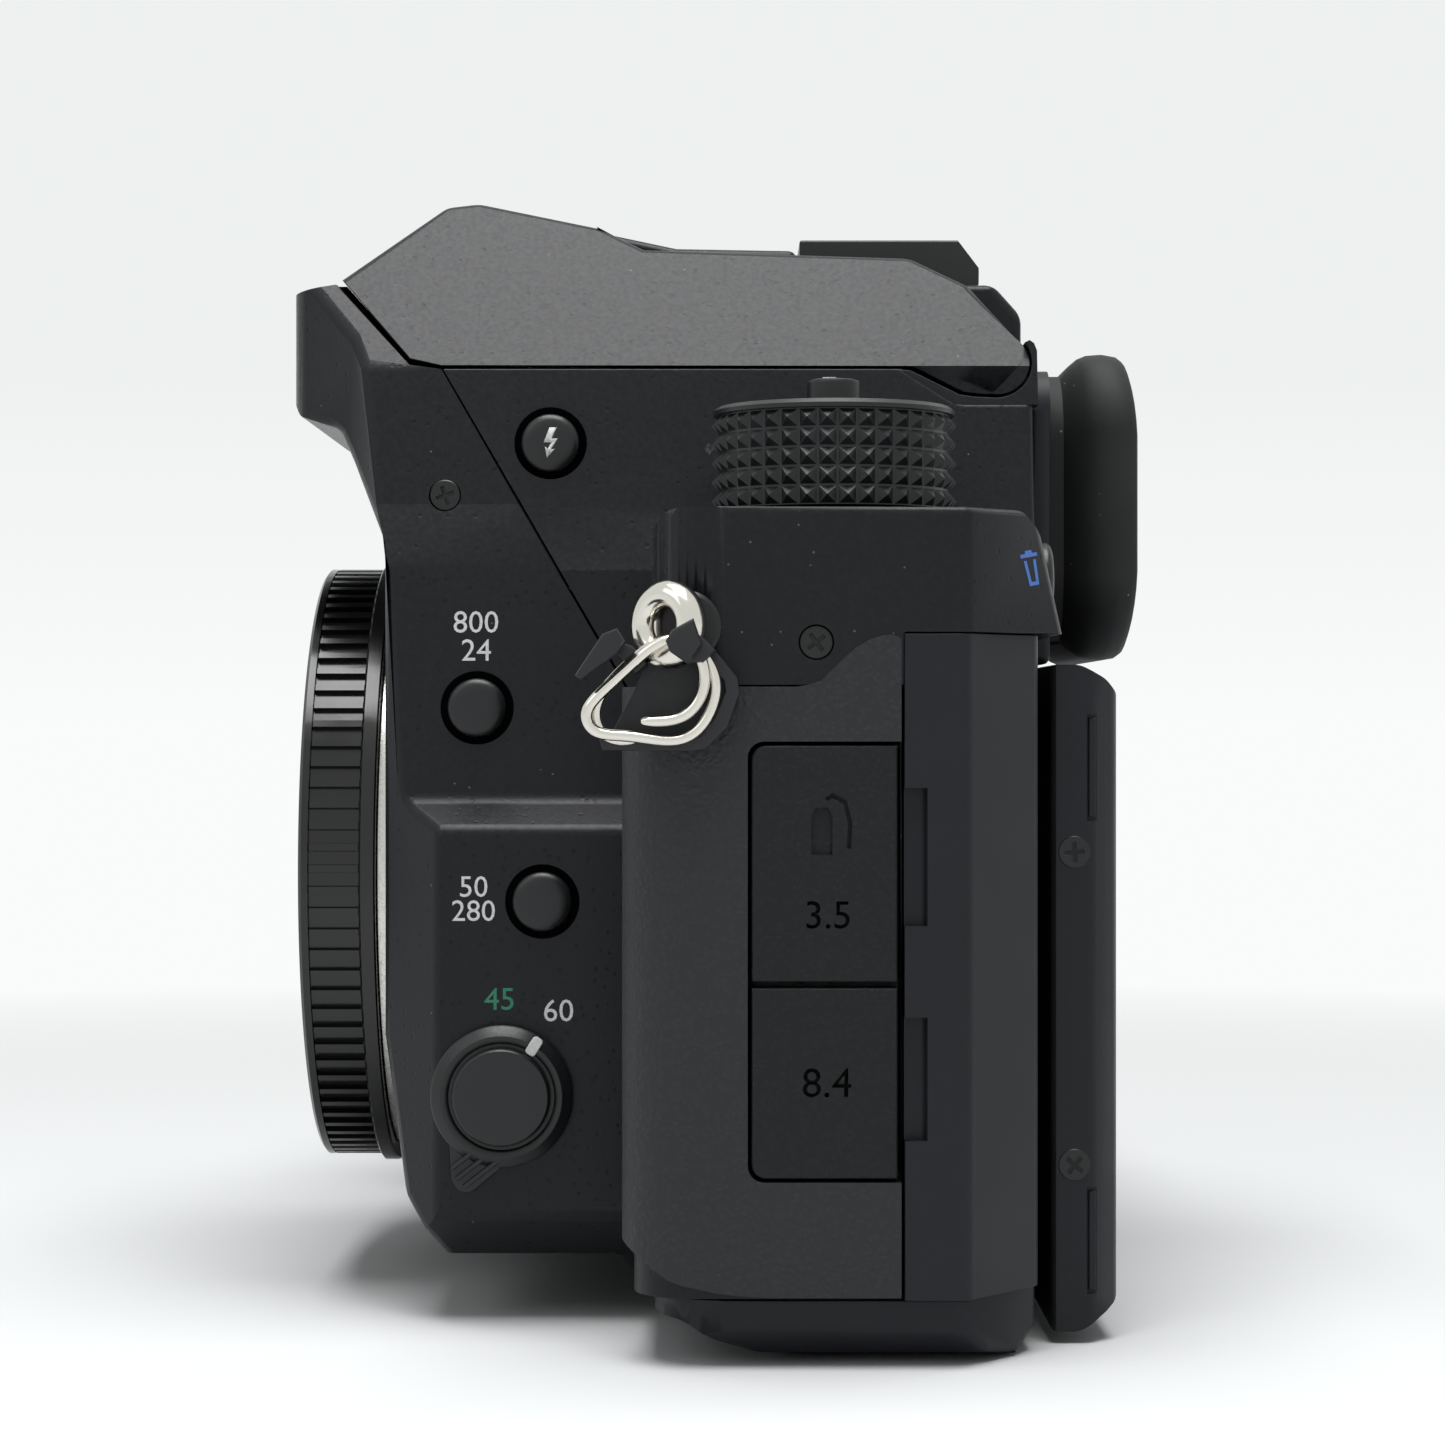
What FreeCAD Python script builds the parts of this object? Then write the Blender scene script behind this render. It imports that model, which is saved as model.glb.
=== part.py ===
import FreeCAD, Part
import math
import os
import re

import Sketcher
from FreeCAD import Placement, Rotation, Vector

# Driving sizes in millimetres. The origin is the mouth of the tripod socket, +Z is up,
# the lens looks along -Y, and the holder's left hand is on +X.
sizes = {
    # casing as a whole
    "left_face": 58.3, "right_face": -72.5, "front_y": -30.0, "back_y": 26.3,
    "seam_y": 14.6, "seam_gap": 0.15, "run_gap": 0.3, "snug_gap": 0.05, "wall": 1.8,
    "base_top": 5.5, "skin_top": 55.4, "rear_top": 59.7, "deck_z": 70.0, "lens_z": 39.0,
    "through": 4.0, "way_long": 12.0, "over": 1.0, "shell_corner": 6.0, "chamfer_wall": 0.72,
    "press_gap": 0.02, "key_bevel": 0.5, "small_bevel": 0.4, "fine_bevel": 0.3,
    # left end of the casing and its skin
    "left_front_y": -8.3, "skin_thick": 1.0, "skin_rear_y": 14.5, "skin_lift": 0.4,
    "skin_lift_mid": 0.5, "skin_lift_toe": 1.6, "skin_lift_front": 4.0,
    # front cover and prism housing seen from the side
    "bulge_rear_y": -6.5, "bulge_low_y": -24.4, "bulge_toe_y": -27.9, "bulge_toe_z": 10.8,
    "bulge_chin_z": 24.8, "brow_low_z": 68.5, "brow_mid_y": -32.2, "brow_mid_z": 73.5,
    "brow_top_y": -34.8, "brow_top_z": 79.2, "nose_under_y": -38.9, "nose_under_z": 80.7,
    "nose_front_y": -39.5, "nose_low_z": 82.0, "nose_top_z": 92.0, "nose_back_y": -35.4,
    "nose_back_z": 92.7, "flash_toe_y": -28.2, "flash_toe_z": 85.0, "flash_low_z": 84.6,
    "seam_top_y": -25.3, "seam_low_y": -10.8, "seam_low_z": 59.5, "seam_foot_y": -8.5,
    # front cover and prism housing seen from the front
    "bulge_half": 37.0, "bulge_waist": 33.2, "ledge_low_z": 43.3, "ledge_top_z": 45.6,
    "bulge_neck": 31.5, "neck_z": 66.0, "hump_half": 29.5, "hump_low_z": 72.0,
    "hump_edge": 27.2, "crown_half": 14.5, "crown_z": 101.3, "bulge_foot": 33.0,
    "bulge_foot_z": 9.5,
    # front cover and prism housing seen from above
    "bulge_cheek_y": -24.0, "bulge_face_half": 31.0, "brow_half": 25.0, "brow_plan_y": -33.5,
    "nose_half": 19.5, "nose_corner": 4.0,
    # flash cover
    "flash_tip_y": -35.0, "flash_tip_z": 93.2, "crest_front_y": -25.8, "crest_front_z": 100.7,
    "crest_y": -22.8, "crest_z": 101.1, "crest_rear_y": -11.4, "crest_rear_z": 98.5,
    "arm_front_y": -7.3, "arm_front_z": 96.3, "arm_rear_y": 17.3, "arm_rear_z": 95.4,
    "arm_bend_y": 22.5, "arm_bend_z": 92.6, "arm_end_y": 27.0, "arm_end_z": 86.8,
    "lobe_front_y": 17.0, "lobe_low_y": 21.5, "lobe_low_z": 82.3, "lobe_bottom_z": 82.0,
    "lobe_bottom_y": 24.2, "hinge_y": 24.7, "hinge_z": 85.0, "pin_r": 1.0, "pin_run": 0.05,
    "pin_from": 12.5, "pin_to": 23.5, "arm_inner": 15.9, "arm_thick": 3.2,
    "lobe_sweep": 3.6, "lobe_round": 1.2, "window_half": 13.0, "window_thick": 1.2,
    "window_margin": 2.1, "window_sink": 0.1, "lamp_depth": 6.6,
    # fixed centre strip behind the flash, hot shoe and its cover
    "strip_half": 15.5, "strip_front_y": -10.9, "strip_front_z": 98.2, "strip_bend_y": -4.3,
    "strip_bend_z": 96.8, "strip_rear_y": 6.9, "strip_rear_z": 96.6, "shoe_seat_z": 93.4,
    "strip_end_y": 25.3, "hump_rear_y": 27.9, "strip_end_z": 90.5,
    "shoe_front_y": 7.3, "shoe_rear_y": 24.5, "shoe_half": 10.5, "shoe_slot_half": 9.35,
    "shoe_lip_half": 6.3, "shoe_plate": 1.2, "shoe_slot": 2.4, "shoe_lip": 1.2,
    "shoe_fit": 0.12, "shoe_stop": 0.9,
    # shoulders of the top cover
    "shoulder_front_y": -5.7, "shoulder_edge": 1.5, "shoulder_rear_y": 24.6,
    "slope_top_y": 26.3, "slope_top_z": 68.2, "slope_foot_y": 28.3, "chamfer_y": 19.9,
    "chamfer_x": 50.5, "right_deck_z": 69.0, "right_chamfer_x": -66.0,
    "grip_front_y": -33.5, "grip_nose_z": 61.5, "grip_top_y": -10.0, "grip_outer_y": -20.0,
    "grip_tip_outer": -62.5, "grip_tip_inner": -49.0, "grip_inner_y": -18.0,
    "grip_inner_x": -42.0, "grip_root_x": -37.5, "grip_round": 6.0, "front_split_x": -45.0,
    # bottom cover
    "base_front_y": -5.6, "base_lip_z": 4.0, "base_lip_y": -3.2, "base_mid_y": -0.2,
    "base_mid_z": 1.9, "base_flat_y": 5.0, "base_heel_y": 24.0, "base_rear_z": 2.2,
    "base_rear_y": 26.1, "base_left": 57.2, "base_right": -71.5, "tongue_half": 24.0,
    "tongue_y": -22.0, "tongue_low": 4.2, "base_floor": 2.0, "base_inset": 1.0, "base_lip_drop": 0.3,
    "base_tuck": 7.0, "base_tuck_mid": 2.4, "base_tuck_mid_z": 0.9, "base_tuck_z": 3.0,
    # lens mount, body cap and mirror box
    "flange_y": -31.0, "mount_r": 27.5, "mount_bore": 22.5, "mount_fit": 0.1,
    "mount_rear_y": -28.1, "cap_front_y": -38.1, "cap_rib_y": -32.6, "cap_r": 28.5,
    "cap_rim_r": 29.0, "cap_seat": 0.12, "cap_plug_r": 21.9, "cap_plug_y": -28.6,
    "cap_wall": 2.0, "cap_bevel": 0.6, "box_half": 21.0, "box_low_z": 20.0,
    "box_top_z": 56.0, "box_rear_y": 9.5, "box_room_half": 17.0, "box_room_low": 25.0,
    "box_room_top": 53.2, "box_plate": 25.0, "box_plate_thick": 2.0,
    "box_bore_r": 20.0, "box_bore_deep": 6.5, "screen_half": 14.0,
    "screen_front_y": -19.0, "screen_rear_y": 4.0, "screen_thick": 1.2,
    "mirror_half": 13.0, "mirror_length": 29.0, "mirror_thick": 1.0, "mirror_y": 4.5,
    "mirror_z": 51.0, "mirror_tilt": 45.0, "mirror_pin_r": 0.7, "mirror_pin_reach": 2.0,
    # pentaprism, eyepiece and imaging parts
    "prism_half": 12.5, "prism_low": 57.5, "prism_front_y": -17.0, "prism_nose_z": 64.0,
    "prism_peak_y": -6.0, "prism_top": 81.6, "prism_top_y": 6.0, "prism_rear_y": 15.0,
    "prism_rear_z": 77.0, "eye_z": 73.0, "eye_half": 11.0,
    "eye_rise": 7.0, "eye_plate_y": 28.05, "eye_plate_rear": 30.0, "eye_plate_half": 22.0,
    "eye_plate_low": 57.8, "eye_plate_top": 85.0, "neck_rear": 33.4, "neck_half": 13.0,
    "neck_rise": 9.0, "lens_front_y": 28.9, "lens_back_y": 31.4,
    "cup_front": 30.3, "cup_mid": 33.7, "cup_rear": 38.3, "cup_low": 58.3, "cup_top": 87.0,
    "cup_half": 21.5, "cup_neck_half": 19.0, "cup_neck_low": 60.0, "cup_neck_top": 85.0,
    "cup_round": 7.0, "cup_taper": 2.0, "cup_hole_half": 12.5, "cup_hole_rise": 8.5,
    "shutter_thick": 3.0, "shutter_half": 22.0, "shutter_low": 19.0, "shutter_top": 57.0,
    "gate_half": 13.0, "gate_rise": 9.0, "sensor_half": 15.0, "sensor_rise": 11.0,
    "sensor_thick": 2.5, "board_thick": 1.6, "board_left": 40.0, "board_right": -34.0,
    "board_low": 9.0, "board_top": 54.0,
    # dials and buttons on the top
    "dial_x": 43.0, "dial_y": 9.5, "dial_r": 10.45, "dial_low": 70.4, "dial_height": 8.9,
    "dial_bevel": 0.7, "dial_stem_r": 3.6, "stem_low": 66.5, "stem_fit": 0.08,
    "lock_r": 2.3, "lock_rise": 2.45, "lock_stem_rise": 2.1, "lock_pocket_rise": 0.5,
    "lock_fit": 0.08,
    "release_x": -57.0, "release_y": -20.5, "release_r": 5.4, "release_stem_r": 3.9,
    "release_top": 69.3, "release_crown": 0.6, "release_low": 65.2, "switch_r": 9.2, "switch_low": 66.9,
    "switch_top": 68.7,
    "switch_tab": 12.0, "switch_tab_half": 1.6, "pad_r": 10.2, "pad_top": 66.6,
    "setting_x": -60.0, "setting_y": 4.0, "setting_r": 7.5, "function_x": -41.5,
    "function_y": 5.0, "function_r": 7.8, "small_dial_rise": 4.6, "small_stem_r": 2.5,
    "front_dial_y": -29.5, "front_dial_z": 57.3, "front_dial_r": 5.2, "front_dial_half": 4.6,
    "front_dial_x": -55.5, "front_axle": 13.8, "axle_r": 1.0, "rear_dial_x": -55.0, "rear_dial_y": 21.2,
    "rear_dial_r": 7.6, "rear_dial_low": 61.4, "rear_dial_top": 65.4,
    # buttons on the photographed side
    "button_r": 2.6, "well_r": 3.25, "button_fit": 0.1, "flash_key_y": -15.4,
    "flash_key_z": 77.5, "flash_key_rise": 0.1, "flash_well_deep": 1.3, "raw_key_y": -21.7,
    "raw_key_z": 53.8, "raw_key_rise": 0.4, "raw_well_deep": 1.0, "mode_key_y": -15.7,
    "mode_key_z": 36.9, "mode_key_rise": 1.0, "mode_well_deep": 0.5, "key_length": 4.6,
    "focus_y": -19.2, "focus_z": 20.0, "focus_r": 6.2, "focus_disc_r": 4.15,
    "focus_ring_rise": 1.6, "focus_disc_rise": 2.2, "focus_stem_r": 2.5, "focus_stem_deep": 4.0,
    "focus_slope": 0.9, "focus_rim": 0.6, "focus_groove": 0.15, "focus_groove_deep": 0.8,
    "tab_reach": 9.6, "tab_half": 2.6, "tab_turn": -25.0,
    # lens release and lock pin
    "unlock_x": -32.6, "unlock_z": 30.0, "unlock_r": 3.6, "unlock_y": -31.2,
    "unlock_rear_y": -25.0, "unlock_bevel": 0.7, "boss_r": 5.2, "boss_y": -29.8, "lock_pin_r": 1.0,
    "lock_pin_x": -25.0, "lock_pin_y": -31.8, "lock_pin_rear_y": -26.0,
    # port covers and sockets
    "port_front_y": 2.2, "port_rear_y": 14.3, "usb_low": 31.2, "usb_top": 50.8,
    "power_low": 15.4, "power_top": 30.8, "cover_thick": 1.9, "cover_round": 1.8,
    "port_room": 1.2, "usb_z": 43.5, "usb_half_y": 3.2, "usb_half_z": 4.2, "jack_y": 8.4,
    "mic_z": 35.0, "mic_r": 2.9, "power_z": 23.0, "power_r": 3.1, "socket_x": 49.0,
    "jack_bore": 1.8, "usb_bore_y": 1.4, "usb_bore_z": 3.2, "notch_depth": 1.2,
    "notch_y": 16.6, "notch_low": 36.0, "notch_top": 47.2, "notch_low_low": 18.6,
    "notch_low_top": 28.6,
    # strap lugs, rings and guards
    "lug_x": 61.1, "lug_y": -4.2, "lug_z": 60.2, "lug_ring_r": 2.9, "lug_wire_r": 0.75,
    "lug_turn": 40.0, "lug_post_r": 1.3, "lug_post": 6.0, "wire_r": 0.5, "turn_pitch": 1.5,
    "ring_low": 8.8, "ring_front": 7.0, "ring_rear": 3.4, "ring_crest": 2.0, "ring_toe": 1.5,
    "ring_heel": 2.2, "ring_bend": 1.0, "guard_thick": 0.8, "guard_front": 7.6,
    "guard_leaf": 5.0, "guard_leaf_low": 4.0, "guard_root": 3.6, "guard_neck": 3.9,
    "guard_rear": 5.6, "guard_low": 10.0, "guard_round": 2.4, "guard_toe": 1.4, "leaf_tip": 0.2,
    "leaf_side": 0.9, "leaf_side_low": 1.1, "leaf_foot": 0.6, "bridge_thick": 1.1,
    "bridge_low": 1.5, "bridge_top": 1.6,
    # corners of the guard's flap, forward of its rear edge and above the lug
    "flap_root_z": -2.4, "flap_peak_y": 1.4, "flap_peak_z": 0.6, "flap_brow_y": 4.4,
    "flap_brow_z": -0.5, "flap_nose_y": 4.9, "flap_nose_z": -1.9, "flap_chin_y": 3.4,
    "flap_chin_z": -4.1, "flap_heel_y": 1.4, "flap_heel_z": -3.4,
    # tripod socket
    "socket_thread_r": 3.175, "socket_depth": 4.6, "socket_r": 6.0, "socket_top": 5.4,
    "socket_flange_r": 7.5, "socket_flange": 1.8,
    # monitor on its tilting arm
    "monitor_left": 46.0, "monitor_right": -31.0, "monitor_low": 1.0, "monitor_top": 57.4,
    "monitor_front": 27.7, "monitor_rear": 33.6, "monitor_edge": 2.4, "monitor_brow": 1.0,
    "monitor_lip": 1.5, "monitor_lip_top": 1.2, "slot_deep": 0.5, "slot_wide": 1.6,
    "slot_rear": 1.2, "slot_long": 9.0, "slot_low": 3.2, "slot_top": 4.2, "glass_left": 39.5,
    "glass_right": -24.5, "glass_low": 5.5, "glass_top": 53.5, "glass_thick": 0.9,
    "arm_y": 26.95, "arm_sheet": 0.7, "arm_left": 27.0, "arm_right": -12.0, "arm_low": 2.6,
    "arm_high": 50.0, "arm_pin_r": 0.5, "arm_pin": 2.0, "ear_thick": 2.4, "ear_rise": 1.1,
    "arm_window_low": 10.0, "arm_window_high": 42.0, "arm_window_left": 17.0,
    "arm_window_right": -2.0, "stub_r": 0.28, "stub_fit": 0.05,
    # controls on the back
    "key_small_r": 2.9, "key_rise": 1.0, "key_root": 0.5, "pad_x": -51.5, "pad_z": 27.0,
    "pad_ring_r": 9.5,
    "pad_disc_r": 4.0, "pad_ring_in": 4.4, "live_x": -38.0, "live_z": 53.0, "hold_x": -47.0,
    "hold_z": 53.0, "play_x": -44.0, "play_z": 11.5, "menu_x": -59.5, "menu_z": 11.5,
    "trash_x": 42.0, "trash_z": 64.7, "trash_face_y": 28.3, "trash_r": 3.2,
    "trash_rear_y": 24.8, "diopter_x": -25.6, "diopter_z": 78.0, "diopter_r": 2.9,
    "diopter_rear_y": 30.6, "diopter_front_y": 28.2, "diopter_pin_y": 25.5,
    # battery, doors
    "battery_left": -51.0, "battery_right": -66.0, "battery_front": -22.0,
    "battery_rear": 12.0, "battery_low": 3.0, "battery_top": 50.0, "battery_room": 0.4,
    "door_left": -48.6, "door_right": -68.4, "door_front": -24.5, "door_rear": 14.0,
    "door_low": 0.25, "door_thick": 1.6, "battery_round": 1.5, "card_front": -3.0,
    "card_rear": 12.6, "card_low": 14.0, "card_top": 46.0, "card_thick": 1.5,
    # screws
    "screw_r": 1.4, "screw_deep": 5.0, "screw_sink": 0.25, "screw_fit": 0.05,
    "screw_slot": 0.45, "screw_slot_deep": 0.5, "screw_bar": 0.875,
    "prism_screw_y": -24.8, "prism_screw_z": 72.8, "deck_screw_y": 7.6, "deck_screw_z": 59.0,
    "base_screw_x": 46.0, "base_screw_right": -36.0, "base_screw_y": 15.0,
    "base_screw_deep": 4.6, "tongue_screw_x": 18.0, "tongue_screw_y": -17.0,
    "tongue_screw_deep": 2.9,
}

doc = FreeCAD.newDocument("camera")
sheet = doc.addObject("Spreadsheet::Sheet", "Sizes")
for row, (word, value) in enumerate(sizes.items(), start=1):
    sheet.set(f"A{row}", word)
    sheet.set(f"B{row}", str(value))
    sheet.setAlias(f"B{row}", word)
doc.recompute()

nodes = []
turnTo = {
    "+z": Rotation(),
    "-z": Rotation(Vector(1, 0, 0), 180),
    "+x": Rotation(Vector(0, 1, 0), 90),
    "-x": Rotation(Vector(0, 1, 0), -90),
    "+y": Rotation(Vector(1, 0, 0), -90),
    "-y": Rotation(Vector(1, 0, 0), 90),
}


def named(text):
    """Points every size in an expression at the sheet."""
    return re.sub(r"[a-z_]+", lambda found: "Sizes." + found.group(0)
                  if found.group(0) in sizes else found.group(0), text)


def bind(thing, **values):
    """Ties properties to the sheet; a double underscore stands for a dot."""
    for key, text in values.items():
        thing.setExpression(key.replace("__", "."), named(text))


def place(thing, x, y, z, towards="+z"):
    """Puts an object's own origin at x, y, z with its own Z pointing the given way."""
    thing.Placement = Placement(Vector(), turnTo[towards])
    bind(thing, Placement__Base__x=x, Placement__Base__y=y, Placement__Base__z=z)
    return thing


def piece(label, thing):
    """Names a finished sub-part and keeps it for writing."""
    thing.Label = label
    nodes.append(thing)
    return thing


def outline(body, name, plane, away, points):
    """Draws a closed outline on one of the body's own planes, each corner tied to the sheet."""
    sketch = body.newObject("Sketcher::SketchObject", name)
    origin = [feature for feature in body.Origin.OriginFeatures if feature.Role == plane]
    sketch.AttachmentSupport = [(origin[0], "")]
    sketch.MapMode = "FlatFace"
    bind(sketch, AttachmentOffset__Base__z=away)
    count = len(points)
    start = [Vector(math.cos(2 * math.pi * k / count), math.sin(2 * math.pi * k / count), 0)
             for k in range(count)]
    sketch.addGeometry([Part.LineSegment(start[k], start[(k + 1) % count])
                        for k in range(count)], False)
    sketch.addConstraint([Sketcher.Constraint("Coincident", k, 2, (k + 1) % count, 1)
                          for k in range(count)])
    for k, (across, up) in enumerate(points):
        for kind, text in (("DistanceX", across), ("DistanceY", up)):
            rule = sketch.addConstraint(Sketcher.Constraint(kind, -1, 1, k, 1, 1.0))
            sketch.setExpression(f"Constraints[{rule}]", named(text))
    return sketch


def edges_at(shape, sketch, corners):
    """Finds the straight edges that rise from the given corners of an outline."""
    normal = sketch.Placement.Rotation.multVec(Vector(0, 0, 1))
    found = []
    for corner in corners:
        foot = sketch.Placement.multVec(sketch.getPoint(corner, 1))
        for number, edge in enumerate(shape.Edges, start=1):
            ends = [vertex.Point - foot for vertex in edge.Vertexes]
            if len(ends) == 2 and all(end.cross(normal).Length < 1e-4 for end in ends):
                found.append(f"Edge{number}")
    return found


def slab(name, plane, low, high, points, rounds=None):
    """A plate with the outline, between two places along the plane's normal."""
    body = doc.addObject("PartDesign::Body", name)
    away = f"-({high})" if plane == "XZ_Plane" else low
    sketch = outline(body, name + "_outline", plane, away, points)
    pad = body.newObject("PartDesign::Pad", name + "_pad")
    pad.Profile = sketch
    bind(pad, Length=f"({high}) - ({low})")
    doc.recompute()
    for number, (radius, corners) in enumerate((rounds or {}).items()):
        before = body.Tip
        fillet = body.newObject("PartDesign::Fillet", f"{name}_round{number}")
        fillet.Base = (before, edges_at(before.Shape, sketch, corners))
        bind(fillet, Radius=radius)
        doc.recompute()
    return body


def turned(name, points, x, y, z, towards="+z"):
    """A turned piece from an outline of radius and height."""
    body = doc.addObject("PartDesign::Body", name)
    sketch = outline(body, name + "_outline", "XZ_Plane", "0", points)
    turn = body.newObject("PartDesign::Revolution", name + "_turn")
    turn.Profile = sketch
    turn.ReferenceAxis = (sketch, ["V_Axis"])
    turn.Angle = 360
    return place(body, x, y, z, towards)


def rod(name, radius, length, x, y, z, towards="+z"):
    cylinder = doc.addObject("Part::Cylinder", name)
    bind(cylinder, Radius=radius, Height=length)
    return place(cylinder, x, y, z, towards)


def block(name, x, y, z):
    """A box given by its low and high place along each axis."""
    box = doc.addObject("Part::Box", name)
    bind(box, Length=f"({x[1]}) - ({x[0]})", Width=f"({y[1]}) - ({y[0]})",
         Height=f"({z[1]}) - ({z[0]})")
    return place(box, x[0], y[0], z[0])


def fuse(name, *things):
    joined = doc.addObject("Part::MultiFuse", name)
    joined.Shapes = list(things)
    joined.Refine = True
    return joined


def meet(name, *things):
    shared = doc.addObject("Part::MultiCommon", name)
    shared.Shapes = list(things)
    return shared


def cut(name, base, *tools):
    """Takes each tool away from the base in turn."""
    for number, tool in enumerate(tools, start=1):
        step = doc.addObject("Part::Cut", name if number == len(tools) else f"{name}_cut{number}")
        step.Base = base
        step.Tool = tool
        base = step
    return base


def group(name, *things):
    """Several separate solids under one name."""
    together = doc.addObject("Part::Compound", name)
    together.Links = list(things)
    return together


def mirrored(points):
    """Adds the other half of an outline that starts and ends beside its vertical axis."""
    return points + [(f"-({across})", up) for across, up in reversed(points)]


def key(label, radius, reach, x, y, z, towards, cap="key_bevel"):
    """A round push button: a shaft under a slightly bevelled cap."""
    face = [("0", "0"), (radius, "0"), (radius, f"{reach} - {cap}"),
            (f"{radius} - {cap}", reach), ("0", reach)]
    return piece(label, turned(label, face, x, y, z, towards))


# Outlines shared by the covers that meet round the prism and the lens mount
face_half = [("bulge_foot", "base_top + seam_gap"), ("bulge_half", "bulge_foot_z"),
             ("bulge_half", "ledge_low_z"), ("bulge_waist", "ledge_top_z"),
             ("bulge_neck", "neck_z"), ("hump_half", "hump_low_z"),
             ("hump_edge", "flash_low_z"), ("crown_half", "crown_z")]
face_inner = [("bulge_foot - wall", "base_top + wall"), ("bulge_half - wall", "bulge_foot_z + wall"),
              ("bulge_half - wall", "ledge_low_z - wall"), ("bulge_waist - wall", "ledge_top_z - wall"),
              ("bulge_neck - wall", "neck_z"), ("hump_half - wall", "hump_low_z"),
              ("hump_edge - wall", "flash_low_z - wall"), ("crown_half - wall", "crown_z - wall")]
plan_half = [("bulge_half + over", "slope_foot_y"), ("bulge_half + over", "bulge_cheek_y"),
             ("bulge_face_half", "front_y - snug_gap"), ("brow_half", "brow_plan_y"),
             ("nose_half", "nose_front_y")]
base_screw_spots = [("base_screw_x", "base_screw_y"), ("base_screw_right", "base_screw_y")]
tongue_screw_spots = [("tongue_screw_x", "tongue_screw_y"), ("-tongue_screw_x", "tongue_screw_y")]
plan_inner = [("bulge_half - wall", "slope_foot_y"), ("bulge_half - wall", "bulge_cheek_y + wall"),
              ("bulge_face_half - wall", "front_y + wall"),
              ("brow_half - wall", "brow_plan_y + wall"),
              ("nose_half - wall", "nose_front_y + wall")]


def front_turned_in(name, low, high, half_points, corner=None):
    """The plan of the nose and mount bulge as a tall prism."""
    ring = half_points + [(f"-({across})", back) for across, back in reversed(half_points)]
    count = len(half_points)
    rounds = {corner: [count - 1, count]} if corner else None
    return slab(name, "XY_Plane", low, high, ring, rounds)


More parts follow.
